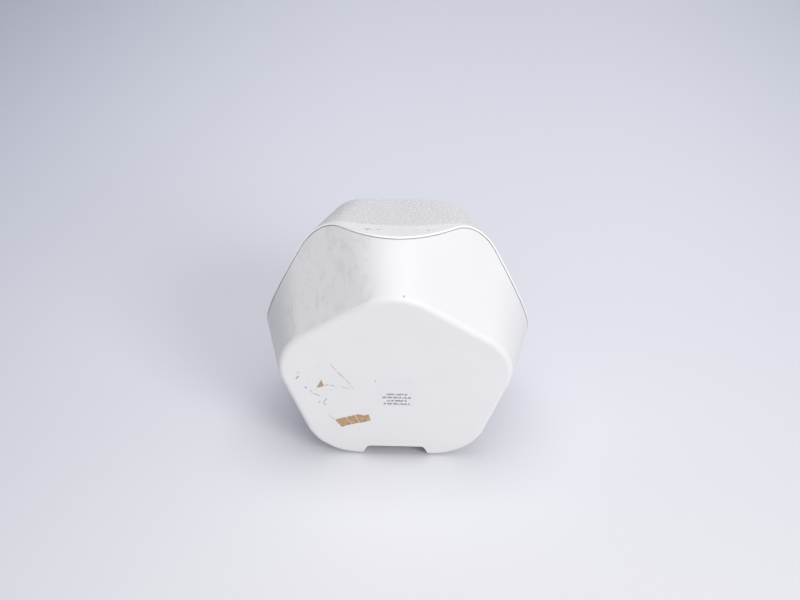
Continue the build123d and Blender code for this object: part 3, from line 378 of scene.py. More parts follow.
def white_abs(name, colour, shade, worn):
    material, tree = start_material(name)
    place = add(tree, "ShaderNodeTexCoord")
    drift = add(tree, "ShaderNodeTexNoise",
                {"Vector": place.outputs["Object"], "Scale": repeats(45.0), "Detail": 2.0})
    grain = add(tree, "ShaderNodeTexNoise",
                {"Vector": place.outputs["Object"], "Scale": repeats(0.35), "Detail": 2.0})
    white = add(tree, "ShaderNodeMix",
                {"Factor": drift.outputs["Fac"], "A": linear(colour), "B": linear(shade)},
                data_type="RGBA").outputs["Result"]
    gloss = add(tree, "ShaderNodeMapRange", {"Value": drift.outputs["Fac"], "From Min": 0.3, "From Max": 0.7,
                                             "To Min": 0.36, "To Max": 0.46}).outputs["Result"]
    if worn:
        face = face_millimetres(tree)
        lines = together(tree, [stroke(tree, face, *line) for line in scratch_lines])
        uneven = add(tree, "ShaderNodeTexNoise", {"Vector": place.outputs["Object"], "Scale": repeats(1.2)})
        strength = add(tree, "ShaderNodeMapRange",
                       {"Value": uneven.outputs["Fac"], "From Min": 0.35, "From Max": 0.6, "To Min": 0.45})
        scratched = add(tree, "ShaderNodeMath", {0: lines, 1: strength.outputs["Result"]},
                        operation="MULTIPLY")
        edges = together(tree, [stroke(tree, face, *line) for line in glue_lines])
        faint = add(tree, "ShaderNodeMapRange",
                    {"Value": uneven.outputs["Fac"], "From Min": 0.45, "From Max": 0.6, "To Max": 0.3})
        glue = add(tree, "ShaderNodeMath", {0: edges, 1: faint.outputs["Result"]}, operation="MULTIPLY")
        normal = add(tree, "ShaderNodeNewGeometry")
        facet_way = (across * 0.57 + Vector((0, 0.45, 0.69))).normalized()      # out of the dusty facet
        facing = add(tree, "ShaderNodeVectorMath", {0: normal.outputs["True Normal"], 1: facet_way},
                     operation="DOT_PRODUCT")
        on_facet = add(tree, "ShaderNodeMapRange",
                       {"Value": facing.outputs["Value"], "From Min": 0.93, "From Max": 0.985},
                       interpolation_type="SMOOTHSTEP")
        wiped = add(tree, "ShaderNodeMapping", {"Vector": face, "Scale": (1.0, 1.0, 0.45)})
        streaks = add(tree, "ShaderNodeTexNoise", {"Vector": wiped.outputs["Vector"], "Scale": 0.16,
                                                   "Detail": 5.0, "Roughness": 0.66, "Distortion": 1.0})
        rubbed = add(tree, "ShaderNodeMapRange",
                     {"Value": streaks.outputs["Fac"], "From Min": 0.5, "From Max": 0.76, "To Max": 0.22})
        dust = add(tree, "ShaderNodeMath", {0: rubbed.outputs["Result"], 1: on_facet.outputs["Result"]},
                   operation="MULTIPLY")
        specks = add(tree, "ShaderNodeTexNoise",
                     {"Vector": place.outputs["Object"], "Scale": repeats(3.2), "Detail": 1.0})
        speck = add(tree, "ShaderNodeMapRange",
                    {"Value": specks.outputs["Fac"], "From Min": 0.8, "From Max": 0.84, "To Max": 0.35})
        dirt = together(tree, [scratched.outputs["Value"], glue.outputs["Value"], dust.outputs["Value"],
                               speck.outputs["Result"]])
        white = add(tree, "ShaderNodeMix", {"Factor": dirt, "A": white, "B": linear("#8B867F")},
                    data_type="RGBA").outputs["Result"]
        gloss = add(tree, "ShaderNodeMath", {0: gloss, 1: dirt, 2: gloss},
                    operation="MULTIPLY_ADD").outputs["Value"]
    close_material(tree, grain.outputs["Fac"], 0.006, Base_Color=white, Roughness=gloss, IOR=1.53)
    return material


# painted shade and light: the rear housing's copy is a shade darker, for the strong light on its facets, and the
# other white parts' copy lighter, for the dimmer light on the strip; the scratches, glue, dust and specks are real
# wear
abs_worn_painted_darker = white_abs("ABS_satin_white_used_painted_darker", "#E9E9EA", "#E3E3E4", worn=True)
abs_white_painted_lighter = white_abs("ABS_satin_white_painted_lighter", "#FAFAFA", "#F4F4F4", worn=False)
print("white ABS: two materials,", len(abs_worn_painted_darker.node_tree.nodes), "nodes in the worn one")

# %% [markdown]
# Most inner plastics are moulded too, but dark and with a coarser spark-eroded grain. Rubber,
# foam and sintered ferrite look dull, because their skin is rough. Nylon, polypropylene and
# cable sheath come out of a smooth tool and keep a soft shine, and the shrink sleeve and the
# frosted light pipe shine most. One maker of moulded plastics covers them all: it needs a
# colour, a second shade for the slow drift, the size and depth of the grain, and how rough
# the skin is.
# %% Moulded plastics and rubbers
def moulded(name, colour, shade, grain_mm, grain_depth_mm, roughness, ior):
    material, tree = start_material(name)
    place = add(tree, "ShaderNodeTexCoord")
    drift = add(tree, "ShaderNodeTexNoise",
                {"Vector": place.outputs["Object"], "Scale": repeats(22.0), "Detail": 3.0})
    grain = add(tree, "ShaderNodeTexVoronoi", {"Vector": place.outputs["Object"], "Scale": repeats(grain_mm)},
                feature="SMOOTH_F1")
    tone = add(tree, "ShaderNodeMix",
               {"Factor": drift.outputs["Fac"], "A": linear(colour), "B": linear(shade)}, data_type="RGBA")
    skin = add(tree, "ShaderNodeMapRange", {"Value": drift.outputs["Fac"], "To Min": roughness - 0.06,
                                            "To Max": roughness + 0.06})
    close_material(tree, grain.outputs["Distance"], grain_depth_mm, Base_Color=tone.outputs["Result"],
                   Roughness=skin.outputs["Result"], IOR=ior)
    return material


plastics = {
    # name, colour, second shade, grain and its depth in mm, roughness, IOR
    "grey_rubber": moulded("TPE_moulded_light_grey", "#C6C6CA", "#B9B9BE", 0.6, 0.02, 0.72, 1.5),
    "grille_plastic": moulded("ABS_spark_eroded_light_grey", "#C4C3C7", "#B4B3B8", 0.8, 0.02, 0.55, 1.53),
    "cabinet_plastic": moulded("ABS_glass_filled_black", "#26262A", "#1B1B1E", 0.9, 0.03, 0.52, 1.54),
    "gasket_foam": moulded("EVA_foam_die_cut_black", "#2A2A2C", "#1E1E20", 0.7, 0.12, 0.9, 1.48),
    "connector_plastic": moulded("nylon_moulded_black", "#222226", "#18181B", 0.5, 0.01, 0.36, 1.53),
    "switch_plastic": moulded("PBT_moulded_charcoal", "#3B3B40", "#303035", 0.4, 0.01, 0.42, 1.57),
    "light_pipe": moulded("polycarbonate_frosted_clear", "#D9DBDE", "#C9CCD0", 0.3, 0.01, 0.3, 1.58),
    "cap_plastic": moulded("polypropylene_pressed_black", "#222225", "#191A1C", 0.8, 0.01, 0.34, 1.49),
    "surround_rubber": moulded("NBR_rubber_moulded_black", "#1F1F21", "#161618", 0.5, 0.01, 0.6, 1.52),
    "chip_plastic": moulded("epoxy_transfer_moulded_black", "#242427", "#1C1C1F", 0.35, 0.01, 0.6, 1.55),
    "cable_sheath": moulded("PVC_extruded_black", "#242428", "#1A1A1D", 1.2, 0.01, 0.4, 1.53),
    "capacitor_can": moulded("PET_shrink_sleeve_navy", "#27304E", "#1D2440", 2.5, 0.02, 0.3, 1.58),
    "transformer_core": moulded("polyester_tape_amber", "#B98B2E", "#A47722", 1.6, 0.05, 0.35, 1.57),
    "ferrite": moulded("ferrite_sintered_charcoal", "#3C3C3F", "#2D2D30", 0.45, 0.03, 0.66, 2.2),
}
print("moulded finishes:", len(plastics))

# %% [markdown]
# Metals reflect their own colour and let no light in, so they are fully metallic and keep
# the default IOR. Copper and brass are warm, nickel and tin nearly white, zinc and aluminium
# a plain grey, and screws with a black zinc finish are dark. What tells the grey ones apart
# is how the skin was made: zinc plating is slightly mottled, turned and drawn parts carry
# fine lines, and anodising dulls the shine. Powder coat is a paint, with the orange-peel
# ripple that paint leaves.
# %% Metals
def metal(name, colour, shade, roughness, mottle_mm, line_mm, line_depth_mm):
    material, tree = start_material(name)
    place = add(tree, "ShaderNodeTexCoord")
    mottle = add(tree, "ShaderNodeTexNoise", {"Vector": place.outputs["Object"], "Scale": repeats(mottle_mm),
                                              "Detail": 4.0})
    drawn = add(tree, "ShaderNodeMapping", {"Vector": place.outputs["Object"], "Scale": (1.0, 0.04, 1.0)})
    lines = add(tree, "ShaderNodeTexNoise",
                {"Vector": drawn.outputs["Vector"], "Scale": repeats(line_mm), "Detail": 2.0})
    tone = add(tree, "ShaderNodeMix",
               {"Factor": mottle.outputs["Fac"], "A": linear(colour), "B": linear(shade)}, data_type="RGBA")
    skin = add(tree, "ShaderNodeMapRange", {"Value": mottle.outputs["Fac"], "From Min": 0.3, "From Max": 0.7,
                                            "To Min": roughness - 0.08, "To Max": roughness + 0.1})
    close_material(tree, lines.outputs["Fac"], line_depth_mm, Base_Color=tone.outputs["Result"],
                   Roughness=skin.outputs["Result"], Metallic=1.0)
    return material


metals = {
    # name, colour, second shade, roughness, then mottle, fine lines and their depth in mm
    "nickel_plate": metal("neodymium_nickel_plated", "#C9C6C0", "#B5B2AC", 0.2, 3.0, 0.5, 0.002),
    "screw_steel": metal("steel_black_zinc", "#55565A", "#46474B", 0.38, 2.0, 0.3, 0.004),
    "contact_brass": metal("brass_nickel_flashed", "#D8C48E", "#C9B27A", 0.24, 3.0, 0.3, 0.003),
    "zinc_steel": metal("steel_zinc_plated", "#B9B9B3", "#A3A49C", 0.36, 2.6, 0.4, 0.004),
    "coil_copper": metal("copper_enamelled_wire", "#C07A4A", "#A8653A", 0.28, 2.0, 0.25, 0.03),
    "shield_steel": metal("steel_tin_plated", "#C3C3C0", "#B2B2AE", 0.26, 5.0, 0.5, 0.002),
    "turned_aluminium": metal("aluminium_turned", "#C4C5C8", "#B4B5B9", 0.3, 4.0, 0.25, 0.008),
    "heat_sink_aluminium": metal("aluminium_extruded_anodised", "#B4B6BA", "#A5A7AB", 0.4, 6.0, 0.3, 0.006),
}


def powder_coat():
    material, tree = start_material("steel_powder_coated_black")
    place = add(tree, "ShaderNodeTexCoord")
    peel = add(tree, "ShaderNodeTexNoise",
               {"Vector": place.outputs["Object"], "Scale": repeats(1.1), "Detail": 2.0})
    tone = add(tree, "ShaderNodeMix",
               {"Factor": peel.outputs["Fac"], "A": linear("#2B2B2E"), "B": linear("#212124")},
               data_type="RGBA")
    close_material(tree, peel.outputs["Fac"], 0.05, Base_Color=tone.outputs["Result"], Roughness=0.45,
                   IOR=1.5)
    return material


metals["black_steel"] = powder_coat()
print("metal finishes:", len(metals))

# %% [markdown]
# A circuit board is glass cloth in epoxy under a green solder mask: smooth, glossy, and a
# little darker where the copper tracks run below it. The tracks here are straight lines on
# a fine grid that a coarse noise switches on and off, which is how a routed board looks.
# %% Circuit board
def solder_mask():
    material, tree = start_material("FR4_board_green_solder_mask")
    face = face_millimetres(tree)
    grid = add(tree, "ShaderNodeTexBrick",
               {"Vector": face, "Color1": (0, 0, 0, 1), "Color2": (0.4, 0.4, 0.4, 1), "Mortar": (1, 1, 1, 1),
                "Scale": 0.5, "Mortar Size": 0.06, "Mortar Smooth": 0.3, "Brick Width": 2.6,
                "Row Height": 0.9})
    areas = add(tree, "ShaderNodeTexNoise", {"Vector": face, "Scale": 0.11, "Detail": 2.0})
    routed = add(tree, "ShaderNodeMapRange",
                 {"Value": areas.outputs["Fac"], "From Min": 0.46, "From Max": 0.54})
    tracks = add(tree, "ShaderNodeMath", {0: grid.outputs["Color"], 1: routed.outputs["Result"]},
                 operation="MULTIPLY")
    green = add(tree, "ShaderNodeMix",
                {"Factor": tracks.outputs["Value"], "A": linear("#1F5A3A"), "B": linear("#3E8A58")},
                data_type="RGBA")
    close_material(tree, tracks.outputs["Value"], 0.03, Base_Color=green.outputs["Result"], Roughness=0.28,
                   IOR=1.55)
    return material


board_finish = solder_mask()
print("board finish:", len(board_finish.node_tree.nodes), "nodes")

# %% [markdown]
# Cloths and pressed fibres scatter light from countless thread surfaces, which shows as a
# dim sheen at grazing angles. The coated silk of the tweeter is tight and almost smooth, the
# spider is an open cotton weave stiffened with amber resin, and the cone is paper pulp, whose
# fibres lie every way and leave a felt-like face. The colour is painted darker where the
# fibres lie low, as painted shade between them.
# %% Paper, silk and stiffened cotton
def fibrous(name, colour, shade, fibre_mm, depth_mm, roughness, sheen):
    material, tree = start_material(name)
    place = add(tree, "ShaderNodeTexCoord")
    crossed = []
    for turn in ((0.3, 0.2, 0.4), (1.1, 0.7, 1.9)):
        laid = add(tree, "ShaderNodeMapping", {"Vector": place.outputs["Object"], "Rotation": turn,
                                               "Scale": (0.25, 1.0, 1.0)})
        crossed.append(add(tree, "ShaderNodeTexNoise",
                           {"Vector": laid.outputs["Vector"], "Scale": repeats(fibre_mm), "Detail": 3.0}))
    felt = add(tree, "ShaderNodeMath", {0: crossed[0].outputs["Fac"], 1: crossed[1].outputs["Fac"]},
               operation="MAXIMUM")
    # painted shade: the colour is darker where the felt is low, between the fibres
    tone = add(tree, "ShaderNodeMix",
               {"Factor": felt.outputs["Value"], "A": linear(shade), "B": linear(colour)}, data_type="RGBA")
    close_material(tree, felt.outputs["Value"], depth_mm, Base_Color=tone.outputs["Result"],
                   Roughness=roughness, IOR=1.5, Sheen_Weight=sheen, Sheen_Roughness=0.5)
    return material


fibres = {
    # name, colour of the fibres, darker colour between them as painted shade, fibre and its depth in mm,
    # roughness, sheen
    "cone_paper": fibrous("paper_pulp_pressed_black", "#37373A", "#222225", 0.9, 0.08, 0.82, 0.1),
    "spider_cloth": fibrous("cotton_phenolic_amber", "#C7A764", "#A88640", 0.7, 0.12, 0.7, 0.15),
    "dome_silk": fibrous("silk_coated_black", "#2B2B2F", "#222226", 0.45, 0.01, 0.5, 0.2),
    "wadding_fibre": fibrous("polyester_wadding_white", "#F0F0EC", "#D5D5D0", 1.4, 0.5, 0.95, 0.4),
}
print("fibrous finishes:", len(fibres))

# %% [markdown]
# The rating label is a clear polyester film with a thin glossy face. Whatever it said is left
# out. Four rows of grey dashes stand in for its lines of small print, so that its place isn't
# empty: noise cuts each row into stretches of uneven length.
# %% Rating label
def label_film():
    material, tree = start_material("polyester_film_clear_label")
    face = face_millimetres(tree)
    row_step, row_height, first_row, rows_middle = 3.25, 1.7, -9.4, -1.0
    rows = []
    for index, half_width in enumerate((7.6, 10.0, 6.9, 9.2)):
        middle = (rows_middle, first_row - index * row_step, 0.0)
        size = add(tree, "ShaderNodeVectorMath", {0: face, 1: middle}, operation="SUBTRACT")
        size = add(tree, "ShaderNodeVectorMath", {0: size.outputs["Vector"]}, operation="ABSOLUTE")
        sides = add(tree, "ShaderNodeSeparateXYZ", {"Vector": size.outputs["Vector"]})
        high = add(tree, "ShaderNodeMath", {0: sides.outputs["Y"], 1: row_height / 2}, operation="LESS_THAN")
        wide = add(tree, "ShaderNodeMath", {0: sides.outputs["X"], 1: half_width}, operation="LESS_THAN")
        rows.append(add(tree, "ShaderNodeMath", {0: high.outputs["Value"], 1: wide.outputs["Value"]},
                        operation="MULTIPLY").outputs["Value"])
    in_rows = together(tree, rows)
    stretched = add(tree, "ShaderNodeMapping", {"Vector": face, "Scale": (0.75, 0.31, 0.0)})
    words = add(tree, "ShaderNodeTexNoise",
                {"Vector": stretched.outputs["Vector"], "Scale": 1.0, "Detail": 0.0})
    in_words = add(tree, "ShaderNodeMath", {0: words.outputs["Fac"], 1: 0.42}, operation="GREATER_THAN")
    print_mask = add(tree, "ShaderNodeMath", {0: in_rows, 1: in_words.outputs["Value"]}, operation="MULTIPLY")
    film = add(tree, "ShaderNodeMix",
               {"Factor": print_mask.outputs["Value"], "A": linear("#E3E3E5"), "B": linear("#8E8F98")},
               data_type="RGBA")
    ripple = add(tree, "ShaderNodeTexNoise", {"Vector": face, "Scale": 0.12, "Detail": 1.0})
    close_material(tree, ripple.outputs["Fac"], 0.05, Base_Color=film.outputs["Result"], Roughness=0.3,
                   IOR=1.64)
    return material


label_finish = label_film()
print("label finish:", len(label_finish.node_tree.nodes), "nodes")

# %% [markdown]
# Every CAD node now gets the finish that its slot in the record names. A CAD object keeps
# its shape, and only its material slots are filled. The cloth over the front is left out
# here, because a woven cover with a finish of its own takes its place further on.
# %% Finishes on the CAD nodes
finishes = {**plastics, **metals, **fibres}
finishes["white_plastic"] = abs_white_painted_lighter
finishes["circuit_board"] = board_finish
finishes["label_film"] = label_finish
slot_of = {row["node"]: row["material_slot"] for row in frame["record"]["subparts"]}
for node_name, piece in nodes.items():
    finish = abs_worn_painted_darker if node_name == "rear_housing" else finishes.get(slot_of[node_name])
    if finish is None:
        continue
    piece.data.materials.clear()
    piece.data.materials.append(finish)
print("nodes finished:", sum(1 for name in nodes if slot_of[name] in finishes))

# %% [markdown]
# The cover is a woven polyester cloth stretched over the grille. Its shape is the front of
# the body: five flat flanks that lean in, joined by round corners, then a rounded edge and a
# flat front. The rear edge of the cloth follows the cone on which the cover is seated, so it
# swings forward at the corners. One function gives the radius of such a rounded pentagon in
# any direction, and a second walks from the hem, over the edge and to the middle of the front.
# %% The cover's shape
front_apothem = 60.8
front_flare = 0.418
front_corner_r = 26.5
front_corner_growth = 0.074
front_edge_r = 9.5
seat_depth = 70.59
seat_radius = 86.26
seat_slope = 0.8067          # growth of the seat's radius for each mm of depth
cloth_t = 0.9


def pentagon_radius(turn, apothem, corner_r):
    """Radius of a rounded pentagon at this angle from the middle of one of its flats."""
    turn = math.radians(abs((turn + 36) % 72 - 36))
    straight = (apothem - corner_r) * math.tan(math.radians(36))
    if math.tan(turn) * apothem <= straight:
        return apothem / math.cos(turn)
    centre = (apothem - corner_r) / math.cos(math.radians(36))
    off = math.radians(36) - turn
    return centre * math.cos(off) + math.sqrt(corner_r ** 2 - (centre * math.sin(off)) ** 2)


def flank_radius(turn, depth):
    back = body_depth - depth
    return pentagon_radius(turn, front_apothem + front_flare * back,
                           front_corner_r + front_corner_growth * back)


def hem_depth(turn):
    """Depth at which the flank in this direction meets the conical seat."""
    depth = seat_depth
    for _ in range(40):
        depth = 0.5 * depth + 0.5 * (seat_depth + (flank_radius(turn, depth) - seat_radius) / seat_slope)
    return depth


def profile(turn, inset):
    """Points (radius, depth) from the hem to the middle of the front, moved in by the inset."""
    slope = flank_radius(turn, body_depth - 1) - flank_radius(turn, body_depth)
    lean_in = math.hypot(1, slope)
    edge_r = front_edge_r - inset
    front = body_depth - inset
    edge_centre = flank_radius(turn, body_depth) + slope * front_edge_r - front_edge_r * lean_in
    end_angle = math.atan2(1, slope)
    low = hem_depth(turn)
    high = body_depth - front_edge_r + front_edge_r * math.cos(end_angle)
    points = []
    flank_steps, edge_steps, face_steps = 26, 12, 22
    for index in range(flank_steps):
        depth = low + (high - low) * index / flank_steps
        points.append((flank_radius(turn, depth) - inset / lean_in, depth - inset * slope / lean_in))
    for index in range(edge_steps + 1):
        angle = end_angle * (1 - index / edge_steps)
        points.append((edge_centre + edge_r * math.sin(angle), front - edge_r + edge_r * math.cos(angle)))
    for index in range(1, face_steps):
        points.append((edge_centre * (1 - index / face_steps), front))
    return points


print("hem depth at a flat %.1f mm and at a corner %.1f mm" % (hem_depth(0), hem_depth(36)))

# %% [markdown]
# The cloth is one closed sheet: an outside, an inside 0.9 mm below it, and a rounded hem that
# joins the two at the seat. Each point of the outside also keeps how far it lies from the
# middle, measured along the cloth, because the threads run over the edge and don't start
# again there. That flat place goes into a UV map, which the weave uses in place of a position.
# %% The woven cover
columns = 360


def make_cover():
    angles = [360 * column / columns for column in range(columns)]
    outer = [profile(angle, 0.0) for angle in angles]
    inner = [profile(angle, cloth_t) for angle in angles]
    turns = [math.radians(angle) for angle in angles]
    lengths = []          # of the cloth from the middle to each point of the outside
    for points in outer:
        run = [0.0]
        for here, there in zip(points[::-1], points[-2::-1]):
            run.append(run[-1] + math.hypot(there[0] - here[0], there[1] - here[1]))
        lengths.append([points[-1][0] + value for value in reversed(run)])

    shape = bmesh.new()
    flat = shape.loops.layers.uv.new("thread_place")
    rings, places = [], []

    def new_ring(points):
        """A ring of corners from one (radius, depth) for each column."""
        return [shape.verts.new(on_axis(r * math.sin(t), r * math.cos(t), d))
                for (r, d), t in zip(points, turns)]

    def add_outer_ring(points, from_middle):
        rings.append(new_ring(points))
        places.append([(s * math.sin(t), s * math.cos(t)) for s, t in zip(from_middle, turns)])

    def add_face(corners, flat_places=()):
        face = shape.faces.new(corners)
        face.smooth = True
        for loop, place in zip(face.loops, flat_places):
            loop[flat].uv = place

    hem_turns, hem_bulge = 6, 0.45
    for index in range(hem_turns + 1):
        share = 0.5 - 0.5 * math.cos(math.pi * index / hem_turns)
        bulge = hem_bulge * math.sin(math.pi * index / hem_turns)
        points = []
        for (r0, d0), (r1, d1) in ((inside[0], outside[0]) for inside, outside in zip(inner, outer)):
            points.append((r0 + (r1 - r0) * share, d0 + (d1 - d0) * share - bulge))
        add_outer_ring(points, [length[0] + cloth_t * (1 - share) for length in lengths])
    row_count = len(outer[0])
    for row in range(1, row_count):
        add_outer_ring([points[row] for points in outer], [length[row] for length in lengths])
    following = [(column + 1) % columns for column in range(columns)]
    for row in range(len(rings) - 1):
        for column, after in enumerate(following):
            around = [(row, column), (row, after), (row + 1, after), (row + 1, column)]
            add_face([rings[r][c] for r, c in around], [places[r][c] for r, c in around])
    last, last_places = rings[-1], places[-1]
    middle = shape.verts.new(on_axis(0, 0, body_depth))
    for column, after in enumerate(following):
        add_face((last[column], last[after], middle), (last_places[column], last_places[after], (0, 0)))
    below = rings[0]
    for row in range(1, row_count):
        upper = new_ring([points[row] for points in inner])
        for column, after in enumerate(following):
            add_face((below[column], upper[column], upper[after], below[after]))
        below = upper
    middle = shape.verts.new(on_axis(0, 0, body_depth - cloth_t))
    for column, after in enumerate(following):
        add_face((below[after], below[column], middle))

    area = sum(face.calc_area() for face in shape.faces) / 2
    open_edges = sum(1 for edge in shape.edges if len(edge.link_faces) != 2)
    return new_object("cover_cloth", shape), area, open_edges


cover, cover_area, open_edges = make_cover()

# %% [markdown]
# Seen close, the cloth is a plain weave of melange yarn: white and light grey fibres spun
# together, so each thread changes shade every few millimetres along its length. Real threads
# here are about 0.6 mm apart, too fine to show from a metre away, so they are drawn 1.1 mm
# apart. Two wave textures at right angles give the threads, a checker says which one lies on
# top, and a noise stretched along each set of threads gives the melange. The colour is also
# painted darker where the threads dip, as painted shade in the gaps between them.
# %% Melange cloth
def melange_cloth():
    material, tree = start_material("polyester_melange_plain_weave")
    thread_mm = 1.1
    place = add(tree, "ShaderNodeUVMap", uv_map="thread_place")
    wander = add(tree, "ShaderNodeTexNoise", {"Vector": place.outputs["UV"], "Scale": 0.16, "Detail": 2.0})
    shift = add(tree, "ShaderNodeVectorMath", {0: wander.outputs["Color"], 1: (0.7, 0.7, 0.0)},
                operation="MULTIPLY")
    waved = add(tree, "ShaderNodeVectorMath", {0: place.outputs["UV"], 1: shift.outputs["Vector"]},
                operation="ADD")
    counted = add(tree, "ShaderNodeVectorMath", {0: waved.outputs["Vector"], "Scale": 1 / thread_mm},
                  operation="SCALE")
    parts = add(tree, "ShaderNodeSeparateXYZ", {"Vector": counted.outputs["Vector"]})
    heights, shades = [], []
    for axis, stretch in (("X", (1.0, 0.3, 1.0)), ("Y", (0.3, 1.0, 1.0))):
        phase = add(tree, "ShaderNodeMath", {0: parts.outputs[axis], 1: math.pi}, operation="MULTIPLY")
        round_thread = add(tree, "ShaderNodeMath", {0: phase.outputs["Value"]}, operation="SINE")
        heights.append(add(tree, "ShaderNodeMath", {0: round_thread.outputs["Value"]}, operation="ABSOLUTE"))
        laid = add(tree, "ShaderNodeMapping", {"Vector": counted.outputs["Vector"], "Scale": stretch})
        shades.append(add(tree, "ShaderNodeTexNoise",
                          {"Vector": laid.outputs["Vector"], "Scale": 1.0, "Detail": 2.0, "Roughness": 0.7}))
    checker = add(tree, "ShaderNodeTexChecker", {"Vector": counted.outputs["Vector"], "Color1": (1, 1, 1, 1),
                                                 "Color2": (0, 0, 0, 1), "Scale": 1.0})
    height = add(tree, "ShaderNodeMix", {"Factor": checker.outputs["Fac"], "A": heights[0].outputs["Value"],
                                         "B": heights[1].outputs["Value"]}, data_type="FLOAT")
    shade = add(tree, "ShaderNodeMix", {"Factor": checker.outputs["Fac"], "A": shades[0].outputs["Fac"],
                                        "B": shades[1].outputs["Fac"]}, data_type="FLOAT")
    cloudy = add(tree, "ShaderNodeTexNoise", {"Vector": place.outputs["UV"], "Scale": 0.5, "Detail": 3.0})
    mixed = add(tree, "ShaderNodeMath", {0: shade.outputs["Result"], 1: cloudy.outputs["Fac"]},
                operation="ADD")
    fleck = add(tree, "ShaderNodeMapRange",
                {"Value": mixed.outputs["Value"], "From Min": 0.82, "From Max": 1.18})
    yarn = add(tree, "ShaderNodeMix",
               {"Factor": fleck.outputs["Result"], "A": linear("#DCDADB"), "B": linear("#FFFEFF")},
               data_type="RGBA")
    # painted shade: the yarn's colour is darkened to 85 % where the threads dip between each other
    painted_gap_shade = add(tree, "ShaderNodeMapRange",
              {"Value": height.outputs["Result"], "From Max": 0.35, "To Min": 0.85})
    colour = add(tree, "ShaderNodeVectorMath", {0: yarn.outputs["Result"], "Scale": painted_gap_shade.outputs["Result"]},
                 operation="SCALE")
    close_material(tree, height.outputs["Result"], 0.12, Base_Color=colour.outputs["Vector"], Roughness=0.86,
                   IOR=1.5, Sheen_Weight=0.25, Sheen_Roughness=0.5)
    return material


cover.data.materials.append(melange_cloth())
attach(cover, "cover")
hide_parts("grille_cloth")
print("cover's material:", cover.data.materials[0].name)

# %% [markdown]
# A strip of brown packing tape was torn off the rear face and left its kraft paper behind,
# in three pieces with bare slits between them, and a torn corner of it further up. Paper
# tears along its fibres, so each edge is cut into short steps that wander by a few tenths
# of a millimetre. The scraps are real pieces, a tenth of a millimetre thick.
# %% Scraps of paper tape
def kraft_paper():
    material, tree = start_material("kraft_paper_torn_brown")
    face = face_millimetres(tree)
    along_fibre = add(tree, "ShaderNodeMapping",
                      {"Vector": face, "Rotation": (0, 0, -0.25), "Scale": (0.4, 2.2, 1.0)})
    fibre = add(tree, "ShaderNodeTexNoise",
                {"Vector": along_fibre.outputs["Vector"], "Scale": 1.0, "Detail": 4.0, "Roughness": 0.7})
    stain = add(tree, "ShaderNodeTexNoise", {"Vector": face, "Scale": 0.35, "Detail": 3.0})
    mixed = add(tree, "ShaderNodeMath", {0: fibre.outputs["Fac"], 1: stain.outputs["Fac"]}, operation="ADD")
    share = add(tree, "ShaderNodeMapRange",
                {"Value": mixed.outputs["Value"], "From Min": 0.75, "From Max": 1.25})
    brown = add(tree, "ShaderNodeMix",
                {"Factor": share.outputs["Result"], "A": linear("#A3805F"), "B": linear("#CBAB8B")},
                data_type="RGBA")
    close_material(tree, fibre.outputs["Fac"], 0.08, Base_Color=brown.outputs["Result"], Roughness=0.85,
                   IOR=1.5)
    return material


def torn_outline(corners, seed, step=0.7, wander=0.22):
    chance = random.Random(seed)
    outline = []
    for start, end in zip(corners, corners[1:] + corners[:1]):
        start, end = Vector(start), Vector(end)
        count = max(1, round((end - start).length / step))
        for index in range(count):
            point = start.lerp(end, index / count)
            outline.append(point + Vector((chance.uniform(-wander, wander), chance.uniform(-wander, wander))))
    return outline


def flat_scrap(name, outline, thickness, finish):
    """A thin piece that lies on the rear face, cut to this outline in millimetres."""
    shape = bmesh.new()
    below, above = [[on_axis(x, up, depth) for x, up in outline] for depth in (0.0, -thickness)]
    add_slab(shape, below, above)
    bmesh.ops.triangulate(shape, faces=[face for face in shape.faces if len(face.verts) > 4])
    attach(new_object(name, shape, finish), "casing")


paper_finish = kraft_paper()
tape_scraps = {
    "tape_scrap_left": [(43, -37.5), (35.5, -34.5), (31.5, -42), (38.5, -45)],
    "tape_scrap_middle": [(34.9, -34.3), (29.1, -32.3), (25.6, -40.1), (31, -42)],
    "tape_scrap_right": [(28.6, -32.1), (26.5, -31.3), (22, -32.4), (19, -31), (17.5, -37.5), (25.1, -40.3)],
    "tape_scrap_corner": [(51.5, 4.5), (55, -4.5), (50, -2)],
}
for number, (scrap_name, corners) in enumerate(tape_scraps.items()):
    flat_scrap(scrap_name, torn_outline(corners, number), 0.1, paper_finish)
print("scraps of tape:", list(tape_scraps))

# %% [markdown]
# The keys on top carry small printed signs in grey ink: a power sign, two rings for pairing,
# a minus and a plus. Pad printing leaves a film some hundredths of a millimetre thick. Each
# sign is made of rings, parts of rings and bars that lie on the cap of its key.
# %% Printed signs on the keys
def printing_ink():
    material, tree = start_material("pad_printing_ink_grey")
    place = add(tree, "ShaderNodeTexCoord")
    uneven = add(tree, "ShaderNodeTexNoise",
                 {"Vector": place.outputs["Object"], "Scale": repeats(0.3), "Detail": 2.0})
    ink = add(tree, "ShaderNodeMix",
              {"Factor": uneven.outputs["Fac"], "A": linear("#5C5D64"), "B": linear("#7B7C84")},
              data_type="RGBA")
    close_material(tree, uneven.outputs["Fac"], 0.004, Base_Color=ink.outputs["Result"], Roughness=0.5,
                   IOR=1.5)
    return material


def cap_top(node_name):
    """Middle of a key's cap, and how its two directions lie on the strip."""
    low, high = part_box(node_name)
    towards_rear = strip_out.cross(across).normalized()
    heights = [vertex.co.dot(strip_out) for vertex in nodes[node_name].data.vertices]
    top = max(heights)
    on_cap = [
        vertex for vertex, height in zip(nodes[node_name].data.vertices, heights) if height > top - 0.3 * MM
    ]
    ups = [vertex.co.dot(towards_rear) for vertex in on_cap]
    middle_x, middle_up = (low.x + high.x) / 2, (min(ups) + max(ups)) / 2
    return across * middle_x + towards_rear * middle_up + strip_out * top, towards_rear


